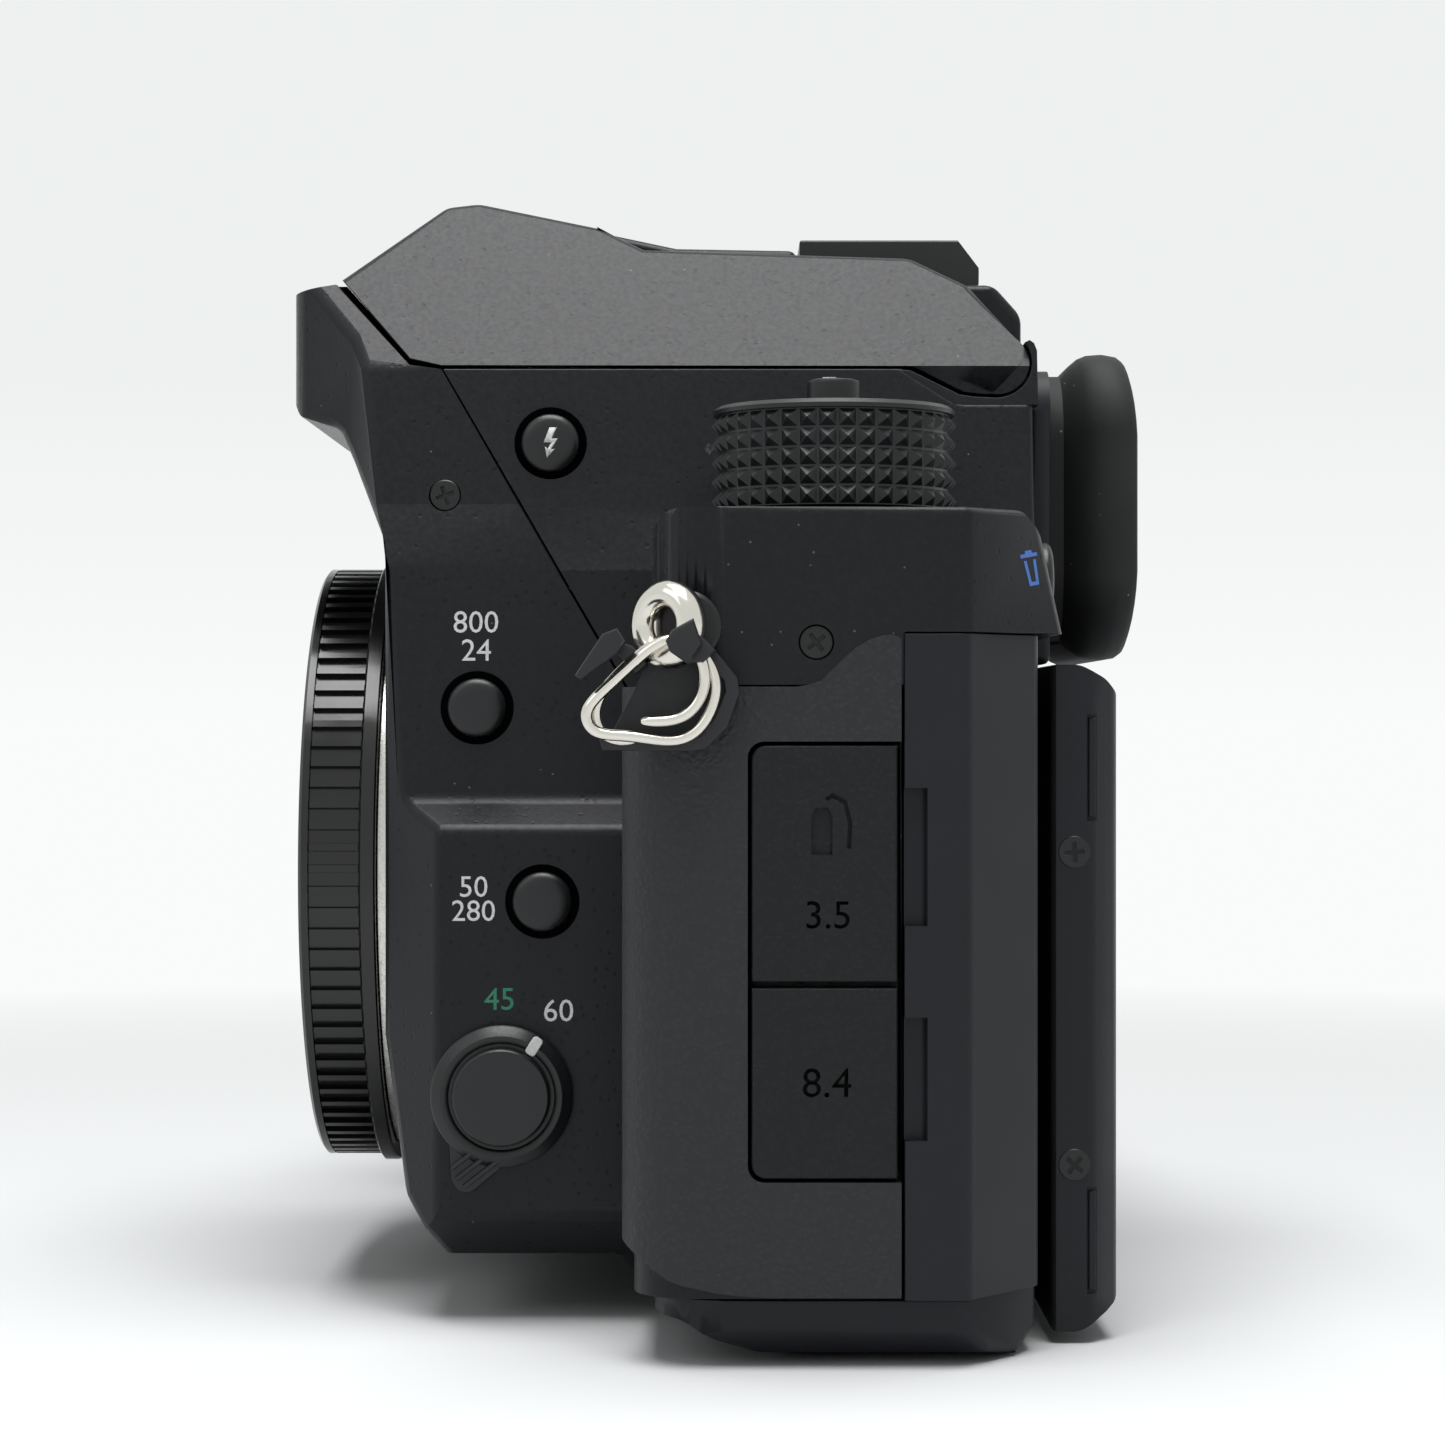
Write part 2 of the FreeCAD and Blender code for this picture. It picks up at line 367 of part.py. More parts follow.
def make_front_cover():
    side = [("bulge_rear_y", "base_top + seam_gap"), ("bulge_low_y", "base_top + seam_gap"),
            ("bulge_toe_y", "bulge_toe_z"), ("front_y", "bulge_chin_z"),
            ("front_y", "brow_low_z"), ("brow_mid_y", "brow_mid_z"),
            ("brow_top_y", "brow_top_z"), ("nose_under_y", "nose_under_z"),
            ("nose_front_y", "nose_low_z"), ("nose_front_y", "nose_top_z"),
            ("nose_back_y", "nose_back_z"), ("flash_toe_y", "flash_toe_z - run_gap"),
            ("seam_top_y", "flash_low_z - run_gap"), ("seam_low_y", "seam_low_z"),
            ("seam_foot_y", "skin_top"), ("bulge_rear_y", "skin_top")]
    room = [("left_front_y", "base_top + wall + seam_gap"),
            ("bulge_low_y + wall", "base_top + wall + seam_gap"),
            ("bulge_toe_y + wall", "bulge_toe_z + wall"), ("front_y + wall", "bulge_chin_z"),
            ("front_y + wall", "brow_low_z"), ("brow_mid_y + wall", "brow_mid_z"),
            ("brow_top_y + wall", "brow_top_z"), ("flash_toe_y - wall", "flash_low_z - wall"),
            ("seam_top_y + wall", "flash_low_z - wall"), ("seam_low_y + wall", "seam_low_z"),
            ("left_front_y + wall", "skin_top + wall"), ("left_front_y + wall", "skin_top - wall")]
    outer = meet("front_bulge",
                 slab("front_side", "YZ_Plane", "-bulge_half - over", "bulge_half + over", side),
                 slab("front_face", "XZ_Plane", "nose_front_y - over", "slope_foot_y",
                      mirrored(face_half)),
                 front_turned_in("front_plan", "0", "crown_z", plan_half, "nose_corner"))
    inner = meet("front_room",
                 slab("front_room_side", "YZ_Plane", "-bulge_half", "bulge_half", room),
                 slab("front_room_face", "XZ_Plane", "nose_front_y", "slope_foot_y",
                      mirrored(face_inner)),
                 front_turned_in("front_room_plan", "0", "crown_z", plan_inner))
    plate = slab("front_plate", "XY_Plane", "base_top + seam_gap", "skin_top",
                 [("front_split_x + seam_gap", "seam_y"),
                  ("front_split_x + seam_gap", "left_front_y + skin_thick"),
                  ("left_face - skin_thick - snug_gap", "left_front_y + skin_thick"),
                  ("left_face - skin_thick - snug_gap", "seam_y")],
                 {"shell_corner - skin_thick": [2]})
    plate_room = block("front_plate_room",
                       ("front_split_x + wall", "left_face - skin_thick - 2 * wall"),
                       ("left_front_y + skin_thick + wall", "seam_y + through"),
                       ("base_top + wall", "skin_top + through"))
    throat = rod("front_throat", "mount_r + mount_fit", "through * 2", "0", "front_y + through",
                 "lens_z", "-y")
    raw_well = rod("raw_well", "well_r", "through", "bulge_waist - raw_well_deep", "raw_key_y",
                   "raw_key_z", "+x")
    raw_hole = rod("raw_hole", "button_r + button_fit", "way_long",
                   "bulge_waist + raw_key_rise - key_length * 2",
                   "raw_key_y", "raw_key_z", "+x")
    mode_well = rod("mode_well", "well_r", "through", "bulge_half - mode_well_deep", "mode_key_y",
                    "mode_key_z", "+x")
    mode_hole = rod("mode_hole", "button_r + button_fit", "way_long",
                    "bulge_half + mode_key_rise - key_length * 2", "mode_key_y", "mode_key_z", "+x")
    focus_hole = rod("focus_hole", "focus_stem_r + button_fit", "way_long",
                     "bulge_half - focus_stem_deep - through", "focus_y", "focus_z", "+x")
    boss = rod("release_boss", "boss_r", "unlock_rear_y - boss_y", "unlock_x", "unlock_rear_y",
               "unlock_z", "-y")
    boss_hole = rod("release_hole", "unlock_r + button_fit", "way_long", "unlock_x",
                    "unlock_rear_y + through", "unlock_z", "-y")
    usb_room = block("usb_room", ("left_face - cover_thick - port_room", "left_face + through"),
                     ("port_front_y - seam_gap", "port_rear_y + seam_gap"),
                     ("power_low - seam_gap", "usb_top + seam_gap"))
    usb_hole = block("usb_hole", ("socket_x - through", "left_face"),
                     ("jack_y - usb_half_y - run_gap", "jack_y + usb_half_y + run_gap"),
                     ("usb_z - usb_half_z - run_gap", "usb_z + usb_half_z + run_gap"))
    mic_hole = rod("mic_hole", "mic_r + run_gap", "way_long", "socket_x - through", "jack_y",
                   "mic_z", "+x")
    power_hole = rod("power_hole", "power_r + run_gap", "way_long", "socket_x - through",
                     "jack_y", "power_z", "+x")
    screw_hole = rod("prism_screw_hole", "screw_r + screw_fit", "way_long",
                     "hump_half - screw_deep - screw_sink", "prism_screw_y", "prism_screw_z", "+x")
    tongue_holes = [rod(f"tongue_hole_{number}", "screw_r + screw_fit", "2 * wall", x, y, "base_top",
                        "+z")
                    for number, (x, y) in enumerate(tongue_screw_spots)]
    shell = fuse("front_shell", cut("front_hollow_bulge", outer, inner),
                 cut("front_hollow_plate", plate, plate_room), boss)
    bulge_way = block("front_way", ("-bulge_waist + wall", "bulge_waist - wall"),
                      ("front_y + 2 * wall", "seam_y"), ("bulge_foot_z + wall", "skin_top + wall"))
    return piece("front_cover", cut("front_cover", shell, bulge_way, throat, raw_well, raw_hole,
                                    mode_well, mode_hole, focus_hole, boss_hole, usb_room,
                                    usb_hole, mic_hole, power_hole, screw_hole, *tongue_holes))


def flash_side():
    """The flash cover seen from the side: hood, arms and the lobes round the hinge."""
    return [("flash_tip_y", "flash_tip_z"), ("crest_front_y", "crest_front_z"),
            ("crest_y", "crest_z"), ("crest_rear_y", "crest_rear_z"),
            ("arm_front_y", "arm_front_z"), ("arm_rear_y", "arm_rear_z"),
            ("arm_bend_y", "arm_bend_z"), ("arm_end_y", "arm_end_z"),
            ("arm_end_y", "hinge_z"), ("lobe_bottom_y", "lobe_bottom_z"),
            ("lobe_low_y", "lobe_low_z"), ("lobe_front_y", "flash_low_z"),
            ("seam_top_y", "flash_low_z"), ("flash_toe_y", "flash_toe_z + run_gap")]


def flash_pane(margin, outer, inner):
    """A plate's side along the slanted lamp face, kept a margin inside both of its ends."""
    run = "(flash_toe_y - flash_tip_y)"
    drop = "(flash_tip_z - flash_toe_z - run_gap)"
    length = f"sqrt({run}^2 + {drop}^2)"
    corners = [(margin, outer), (f"{length} - ({margin})", outer),
               (f"{length} - ({margin})", inner), (margin, inner)]
    return [(f"flash_tip_y + (({along}) * {run} + ({deep}) * {drop}) / {length}",
             f"flash_tip_z + (({deep}) * {run} - ({along}) * {drop}) / {length}")
            for along, deep in corners]


def make_flash_cover():
    hood_face = [("hump_edge - snug_gap", "flash_low_z - through"),
                 ("hump_edge - snug_gap", "flash_low_z"), ("crown_half - snug_gap", "crown_z")]
    solid = meet("flash_solid",
                 slab("flash_side", "YZ_Plane", "-hump_edge", "hump_edge", flash_side(),
                      {"lobe_round": [7, 8, 9]}),
                 slab("flash_face", "XZ_Plane", "nose_front_y", "slope_foot_y", mirrored(hood_face)))
    reach = "sqrt((hinge_y - strip_front_y)^2 + (strip_front_z - hinge_z)^2) + run_gap"
    between = rod("flash_between", reach, "2 * arm_inner", "-arm_inner", "hinge_y", "hinge_z", "+x")
    under = slab("flash_under", "XZ_Plane", "crest_rear_y", "lobe_front_y - over",
                 mirrored([("hump_edge - arm_thick", "flash_low_z - through"),
                           ("hump_edge - arm_thick", "flash_low_z"),
                           ("crown_half + over", "arm_rear_z - arm_thick")]))
    bores = rod("flash_bores", "pin_r + pin_run", "2 * (pin_to + run_gap)", "-pin_to - run_gap",
                "hinge_y", "hinge_z", "+x")
    lamp = slab("flash_lamp_room", "YZ_Plane", "-window_half", "window_half",
                flash_pane("window_margin", "-over", "lamp_depth"))
    return piece("flash_cover", cut("flash_cover", solid, between, under, bores, lamp))


def make_flash_window():
    pane = slab("flash_window", "YZ_Plane", "-window_half + snug_gap", "window_half - snug_gap",
                flash_pane("window_margin + snug_gap", "window_sink", "window_sink + window_thick"))
    return piece("flash_window", pane)


def make_top_cover():
    left_side = [("shoulder_front_y", "skin_top + seam_gap"),
                 ("shoulder_front_y", "deck_z - shoulder_edge"),
                 ("shoulder_front_y + shoulder_edge", "deck_z"), ("shoulder_rear_y", "deck_z"),
                 ("slope_top_y", "slope_top_z"), ("slope_foot_y", "rear_top + seam_gap"),
                 ("seam_y + seam_gap", "rear_top + seam_gap"),
                 ("seam_y + seam_gap", "skin_top + seam_gap")]
    right_side = [("grip_front_y", "skin_top + seam_gap"), ("grip_front_y", "grip_nose_z"),
                  ("grip_top_y", "right_deck_z"), ("shoulder_rear_y", "right_deck_z"),
                  ("slope_top_y", "slope_top_z - shoulder_edge"), ("slope_foot_y", "rear_top + seam_gap"),
                  ("seam_y + seam_gap", "rear_top + seam_gap"),
                  ("seam_y + seam_gap", "skin_top + seam_gap")]
    left_plan = [("hump_half - wall", "shoulder_front_y"), ("left_face", "shoulder_front_y"),
                 ("left_face", "chamfer_y"), ("chamfer_x", "slope_foot_y"),
                 ("hump_half - wall", "slope_foot_y")]
    right_plan = [("-hump_half + wall", "slope_foot_y"), ("right_chamfer_x", "slope_foot_y"),
                  ("right_face", "chamfer_y"), ("right_face", "grip_outer_y"),
                  ("grip_tip_outer", "grip_front_y"), ("grip_tip_inner", "grip_front_y"),
                  ("grip_inner_x", "grip_inner_y"), ("grip_root_x", "left_front_y + skin_thick"),
                  ("-bulge_neck - run_gap", "left_front_y + skin_thick"),
                  ("-hump_half + wall", "seam_low_y + through")]
    left = meet("left_shoulder",
                slab("left_shoulder_plan", "XY_Plane", "skin_top", "deck_z + over", left_plan,
                     {"shell_corner": [1]}),
                slab("left_shoulder_side", "YZ_Plane", "0", "left_face + over", left_side))
    left_room = block("left_shoulder_room", ("hump_half - 2 * wall", "left_face - shell_corner"),
                      ("shoulder_front_y + wall", "shoulder_rear_y - wall"),
                      ("skin_top - through", "deck_z - wall"))
    right = meet("right_shoulder",
                 slab("right_shoulder_plan", "XY_Plane", "skin_top", "deck_z", right_plan,
                      {"grip_round": [3, 4, 5]}),
                 slab("right_shoulder_side", "YZ_Plane", "right_face - over", "0", right_side))
    right_room = block("right_shoulder_room", ("right_face + wall", "-hump_half + 2 * wall"),
                       ("-bulge_rear_y - 2 * grip_round", "shoulder_rear_y - wall"),
                       ("skin_top - through", "right_deck_z - wall"))
    hump_side = [("seam_foot_y + seam_gap", "skin_top + seam_gap"),
                 ("seam_low_y + seam_gap", "seam_low_z"),
                 ("seam_top_y + seam_gap", "flash_low_z - run_gap"),
                 ("lobe_front_y - run_gap", "flash_low_z - run_gap"),
                 ("hinge_y - lobe_sweep", "hinge_z - lobe_sweep"),
                 ("hump_rear_y", "hinge_z - lobe_sweep"), ("hump_rear_y", "rear_top + seam_gap"),
                 ("seam_y + seam_gap", "rear_top + seam_gap"),
                 ("seam_y + seam_gap", "skin_top + seam_gap")]
    room_side = [("left_front_y + wall", "skin_top - wall"), ("seam_low_y - wall", "seam_low_z"),
                 ("seam_top_y - wall", "flash_low_z - run_gap - wall"),
                 ("lobe_front_y - run_gap", "flash_low_z - run_gap - wall"),
                 ("hinge_y - lobe_sweep", "hinge_z - lobe_sweep - wall"),
                 ("hump_rear_y - wall", "hinge_z - lobe_sweep - wall"),
                 ("hump_rear_y - wall", "skin_top - wall")]
    strip_side = [("strip_front_y", "flash_low_z - through"), ("strip_front_y", "strip_front_z"),
                  ("strip_bend_y", "strip_bend_z"), ("strip_rear_y", "strip_rear_z"),
                  ("strip_rear_y", "shoe_seat_z"), ("strip_end_y", "shoe_seat_z"),
                  ("hump_rear_y", "strip_end_z"), ("hump_rear_y", "flash_low_z - through")]
    strip_room = [("strip_front_y + wall", "flash_low_z - 2 * through"),
                  ("strip_front_y + wall", "strip_front_z - wall"),
                  ("strip_bend_y", "strip_bend_z - wall"),
                  ("strip_rear_y - wall", "strip_rear_z - wall"),
                  ("strip_rear_y - wall", "shoe_seat_z - wall"),
                  ("strip_end_y - wall", "shoe_seat_z - wall"),
                  ("hump_rear_y - wall", "strip_end_z - wall"),
                  ("hump_rear_y - wall", "flash_low_z - 2 * through")]
    hump = meet("hump", slab("hump_side", "YZ_Plane", "-bulge_half", "bulge_half", hump_side),
                slab("hump_face", "XZ_Plane", "nose_front_y", "slope_foot_y", mirrored(face_half)))
    hump_room = meet("hump_room",
                     slab("hump_room_side", "YZ_Plane", "-bulge_half", "bulge_half", room_side),
                     slab("hump_room_face", "XZ_Plane", "nose_front_y", "slope_foot_y",
                          mirrored(face_inner)))
    strip = slab("strip", "YZ_Plane", "-strip_half", "strip_half", strip_side)
    strip_hollow = slab("strip_room", "YZ_Plane", "-strip_half + wall", "strip_half - wall", strip_room)
    crown = fuse("top_shell", left, right, hump, strip, rod("release_pad", "pad_r",
                 "pad_top - rear_top", "release_x", "release_y", "rear_top", "+z"))
    eye_way = block("eye_way", ("-eye_half", "eye_half"), ("hump_rear_y - 2 * wall", "slope_foot_y"),
                    ("eye_z - eye_rise", "eye_z + eye_rise"))
    switch_way = rod("switch_way", "switch_r + run_gap", "2 * through", "release_x", "release_y",
                     "pad_top", "+z")
    axle_way = rod("axle_way", "axle_r + press_gap", "front_axle", "front_dial_x - front_axle / 2",
                   "front_dial_y", "front_dial_z", "+x")
    pin_way = rod("pin_way", "pin_r", "2 * strip_half", "-strip_half", "hinge_y", "hinge_z", "+x")
    dial_way = rod("dial_way", "dial_stem_r + stem_fit", "2 * through", "dial_x", "dial_y",
                   "deck_z - through", "+z")
    release_way = rod("release_way", "release_stem_r + button_fit", "way_long + through", "release_x",
                      "release_y",
                      "skin_top", "+z")
    setting_way = rod("setting_way", "small_stem_r + stem_fit", "2 * through", "setting_x",
                      "setting_y", "right_deck_z - through", "+z")
    function_way = rod("function_way", "small_stem_r + stem_fit", "2 * through", "function_x",
                       "function_y", "right_deck_z - through", "+z")
    front_slot = block("front_slot", ("front_dial_x - front_dial_half - run_gap",
                                      "front_dial_x + front_dial_half + run_gap"),
                       ("grip_front_y - through", "front_dial_y + front_dial_r + run_gap"),
                       ("skin_top - through", "front_dial_z + front_dial_r + run_gap"))
    rear_slot = rod("rear_slot", "rear_dial_r + run_gap", "rear_dial_top - rear_dial_low + 2 * run_gap",
                    "rear_dial_x", "rear_dial_y", "rear_dial_low - run_gap", "+z")
    flash_well = rod("flash_well", "well_r", "through", "hump_half - flash_well_deep", "flash_key_y",
                     "flash_key_z", "+x")
    flash_hole = rod("flash_hole", "button_r + button_fit", "way_long",
                     "hump_half + flash_key_rise - 2 * key_length", "flash_key_y", "flash_key_z", "+x")
    trash_way = rod("trash_way", "trash_r + button_fit", "2 * through", "trash_x",
                    "trash_rear_y - through / 2", "trash_z", "+y")
    screw_way = rod("deck_screw_way", "screw_r + screw_fit", "way_long",
                    "left_face - screw_deep - screw_sink", "deck_screw_y", "deck_screw_z", "+x")
    post_y = "lug_y + lug_ring_r * sin(lug_turn)"
    post_reach = "lug_x - lug_ring_r * cos(lug_turn) - lug_post"
    post_way = rod("left_post_way", "lug_post_r + snug_gap", "way_long", post_reach, post_y, "lug_z",
                   "+x")
    post_right = rod("right_post_way", "lug_post_r + snug_gap", "way_long",
                     f"left_face + right_face - ({post_reach})", post_y, "lug_z", "-x")
    diopter_way = rod("diopter_way", "pin_r + pin_run", "2 * through", "diopter_x",
                      "diopter_pin_y - run_gap", "diopter_z", "+y")
    return piece("top_cover", cut("top_cover", crown, left_room, right_room, hump_room,
                                  strip_hollow, eye_way, pin_way, dial_way, release_way,
                                  setting_way, function_way, front_slot, rear_slot, flash_well,
                                  flash_hole, trash_way, screw_way, post_way, post_right,
                                  diopter_way, switch_way, axle_way))


def make_rear_cover():
    plan = [("left_face", "seam_y + seam_gap"), ("left_face", "chamfer_y"), ("chamfer_x", "back_y"),
            ("right_chamfer_x", "back_y"), ("right_face", "chamfer_y"),
            ("right_face", "seam_y + seam_gap")]
    room = [("left_face - wall", "seam_y - over"), ("left_face - wall", "chamfer_y - chamfer_wall"),
            ("chamfer_x - chamfer_wall", "back_y - wall"),
            ("right_chamfer_x + chamfer_wall", "back_y - wall"),
            ("right_face + wall", "chamfer_y - chamfer_wall"), ("right_face + wall", "seam_y - over")]
    shell = slab("rear_shell", "XY_Plane", "base_top + seam_gap", "rear_top", plan)
    hollow = slab("rear_room", "XY_Plane", "base_top + wall", "rear_top + wall", room)
    plate = slab("eye_plate", "XZ_Plane", "eye_plate_y", "eye_plate_rear",
                 [("-eye_plate_half", "eye_plate_low"), ("eye_plate_half", "eye_plate_low"),
                  ("eye_plate_half", "eye_plate_top"), ("-eye_plate_half", "eye_plate_top")],
                 {"through": [2, 3]})
    foot = block("eye_foot", ("-eye_plate_half", "eye_plate_half"),
                 ("back_y - wall", "eye_plate_rear"), ("eye_plate_low", "rear_top"))
    neck = slab("eye_neck", "XZ_Plane", "eye_plate_rear - wall", "neck_rear",
                [("-neck_half", "eye_z - neck_rise"), ("neck_half", "eye_z - neck_rise"),
                 ("neck_half", "eye_z + neck_rise"), ("-neck_half", "eye_z + neck_rise")],
                {"wall": [0, 1, 2, 3]})
    eye_hole = block("eye_hole", ("-eye_half", "eye_half"), ("back_y", "neck_rear + over"),
                     ("eye_z - eye_rise", "eye_z + eye_rise"))
    keys = [("live", "key_small_r"), ("hold", "key_small_r"), ("play", "key_small_r"),
            ("menu", "key_small_r"), ("pad", "pad_ring_r")]
    holes = [rod(f"{word}_way", f"{radius} + button_fit", "2 * through", f"{word}_x",
                 "back_y - through", f"{word}_z", "+y") for word, radius in keys]
    notch_high = block("notch_high", ("left_face - notch_depth", "left_face + through"),
                       ("seam_y", "notch_y"), ("notch_low", "notch_top"))
    notch_deep = block("notch_deep", ("left_face - notch_depth", "left_face + through"),
                       ("seam_y", "notch_y"), ("notch_low_low", "notch_low_top"))
    joined = fuse("rear_joined", cut("rear_hollow", shell, hollow), plate, foot, neck)
    return piece("rear_cover", cut("rear_cover", joined, eye_hole, *holes, notch_high, notch_deep))


def make_bottom_cover():
    side = [("base_front_y", "base_lip_z"), ("base_lip_y", "base_lip_z - base_lip_drop"),
            ("base_mid_y", "base_mid_z"),
            ("base_flat_y", "0"), ("base_heel_y", "0"), ("base_rear_y", "base_rear_z"),
            ("base_rear_y", "base_top"), ("base_front_y", "base_top")]
    end = [("0", "0"), ("base_left - base_tuck", "0"),
           ("base_left - base_tuck_mid", "base_tuck_mid_z"), ("base_left", "base_tuck_z"),
           ("base_left", "base_top"), ("0", "base_top")]
    left_plan = [("tongue_half", "base_front_y"), ("base_left", "base_front_y"),
                 ("base_left", "chamfer_y"), ("chamfer_x - base_inset", "base_rear_y"),
                 ("tongue_half", "base_rear_y")]
    main_plan = [("tongue_half", "base_rear_y"), ("right_chamfer_x + base_inset", "base_rear_y"),
                 ("base_right", "chamfer_y"), ("base_right", "grip_outer_y"),
                 ("grip_tip_outer + base_inset / 2", "grip_front_y + base_inset"),
                 ("grip_tip_inner - base_inset / 2", "grip_front_y + base_inset"),
                 ("grip_inner_x - base_inset", "grip_inner_y"),
                 ("grip_root_x - base_inset", "base_front_y"),
                 ("-tongue_half", "base_front_y"), ("-tongue_half", "tongue_y"),
                 ("tongue_half", "tongue_y")]
    left = meet("base_left", slab("base_left_plan", "XY_Plane", "0", "base_top", left_plan,
                                  {"shell_corner": [1]}),
                slab("base_left_side", "YZ_Plane", "0", "base_left + over", side),
                slab("base_left_end", "XZ_Plane", "base_front_y - over", "base_rear_y + over", end))
    main = slab("base_main", "XY_Plane", "0", "base_top", main_plan, {"grip_round": [3, 4, 5]})
    ears = [block(f"ear_{word}", (f"{low}", f"{low} + ear_thick"),
                  ("base_rear_y - wall", "arm_y + arm_pin_r"),
                  ("arm_low - ear_rise", "arm_low + ear_rise"))
            for word, low in (("left", "arm_left + run_gap"),
                              ("right", "arm_right - run_gap - ear_thick"))]
    left_room = block("base_room", ("-tongue_half", "chamfer_x - wall"),
                      ("base_flat_y + wall", "base_heel_y - wall"), ("base_floor", "base_top + over"))
    right_room = block("base_grip_room", ("right_chamfer_x", "-tongue_half - wall"),
                       ("base_mid_y", "base_heel_y - wall"), ("base_floor + wall", "base_top + over"))
    socket_way = rod("socket_way", "socket_r + snug_gap", "2 * through", "0", "0", "-over", "+z")
    flange_way = rod("flange_way", "socket_flange_r + snug_gap", "through", "0", "0",
                     "socket_top - socket_flange - snug_gap", "+z")
    door_way = block("door_way", ("door_right - run_gap", "door_left + run_gap"),
                     ("door_front - run_gap", "door_rear + run_gap"),
                     ("-over", "door_low + door_thick + run_gap"))
    battery_way = block("battery_way",
                        ("battery_right - battery_room", "battery_left + battery_room"),
                        ("battery_front - battery_room", "battery_rear + battery_room"),
                        ("-over", "base_top + over"))
    ear_way = rod("ear_way", "stub_r + stub_fit", "arm_left - arm_right + 4 * ear_thick",
                  "arm_right - 2 * ear_thick", "arm_y", "arm_low", "+x")
    under_tongue = block("under_tongue", ("-tongue_half - over", "tongue_half + over"),
                         ("tongue_y - over", "-socket_flange_r - wall"), ("-over", "tongue_low"))
    screws = [rod(f"base_screw_way_{number}", "screw_r + screw_fit", "base_top + 2 * over", x, y, "-over",
                  "+z")
              for number, (x, y) in enumerate(base_screw_spots + tongue_screw_spots)]
    whole = fuse("base_joined", left, main, *ears)
    return piece("bottom_cover", cut("bottom_cover", whole, left_room, right_room, socket_way, flange_way,
                                     door_way, battery_way, ear_way, under_tongue, *screws))


def make_side_skin():
    outer = slab("skin_outer", "XY_Plane", "base_top + skin_lift", "rear_top",
                 [("hump_half", "left_front_y"), ("left_face", "left_front_y"),
                  ("left_face", "skin_rear_y"), ("hump_half", "skin_rear_y")], {"shell_corner": [1]})
    inner = slab("skin_inner", "XY_Plane", "0", "deck_z",
                 [("hump_half - over", "left_front_y + skin_thick"),
                  ("left_face - skin_thick", "left_front_y + skin_thick"),
                  ("left_face - skin_thick", "skin_rear_y + over"),
                  ("hump_half - over", "skin_rear_y + over")],
                 {"shell_corner - skin_thick": [1]})
    edge = slab("skin_edge", "YZ_Plane", "left_face - shell_corner - through", "left_face + over",
                [("left_front_y - over", "base_top + skin_lift_front"),
                 ("base_front_y", "base_top + skin_lift_toe"),
                 ("base_mid_y", "base_top + skin_lift_mid"), ("skin_rear_y", "base_top + skin_lift"),
                 ("skin_rear_y", "skin_top"), ("left_front_y - over", "skin_top")])
    covers = block("skin_opening", ("left_face - through", "left_face + over"),
                   ("port_front_y - seam_gap", "skin_rear_y + over"),
                   ("power_low - seam_gap", "usb_top + seam_gap"))
    return piece("side_skin", cut("side_skin", meet("skin_band", outer, edge), inner, covers))


def make_hand_grip():
    plan = [("front_split_x - seam_gap", "seam_y"), ("right_face", "seam_y"),
            ("right_face", "grip_outer_y"), ("grip_tip_outer", "grip_front_y"),
            ("grip_tip_inner", "grip_front_y"), ("front_split_x - seam_gap", "grip_inner_y - through")]
    solid = slab("grip_solid", "XY_Plane", "base_top + seam_gap", "skin_top", plan,
                 {"grip_round": [2, 3, 4]})
    room = block("grip_room", ("battery_right - battery_room", "battery_left + battery_room"),
                 ("battery_front - battery_room", "battery_rear + battery_room"),
                 ("base_top - over", "battery_top + battery_room"))
    slot = block("grip_slot", ("front_dial_x - front_dial_half - run_gap",
                               "front_dial_x + front_dial_half + run_gap"),
                 ("grip_front_y - through", "front_dial_y + front_dial_r + run_gap"),
                 ("front_dial_z - front_dial_r - run_gap", "skin_top + over"))
    card_room = block("card_room", ("right_face - over", "right_face + card_thick + run_gap"),
                      ("card_front - run_gap", "card_rear + run_gap"),
                      ("card_low - run_gap", "card_top + run_gap"))
    return piece("hand_grip", cut("hand_grip", solid, room, slot, card_room))


def make_mount_and_cap():
    ring = turned("mount_turned", [("mount_bore", "0"), ("mount_r", "0"),
                                   ("mount_r", "mount_rear_y - flange_y"),
                                   ("mount_bore", "mount_rear_y - flange_y")],
                  "0", "flange_y", "lens_z", "+y")
    pin_way = rod("mount_pin_way", "lock_pin_r + pin_run", "way_long", "lock_pin_x",
                  "flange_y - over", "lens_z", "+y")
    piece("lens_mount_ring", cut("lens_mount_ring", ring, pin_way))
    shell = turned("cap_turned",
                   [("0", "0"), ("cap_r - cap_bevel", "0"), ("cap_r", "cap_bevel"),
                    ("cap_r", "cap_rib_y - cap_front_y"), ("cap_rim_r", "cap_rib_y - cap_front_y"),
                    ("cap_rim_r", "flange_y - cap_seat - cap_front_y"),
                    ("cap_rim_r - cap_wall", "flange_y - cap_seat - cap_front_y"),
                    ("cap_rim_r - cap_wall", "cap_wall"),
                    ("cap_plug_r", "cap_wall"), ("cap_plug_r", "cap_plug_y - cap_front_y"),
                    ("cap_plug_r - cap_wall", "cap_plug_y - cap_front_y"),
                    ("cap_plug_r - cap_wall", "cap_wall"), ("0", "cap_wall")],
                   "0", "cap_front_y", "lens_z", "+y")
    piece("body_cap", shell)


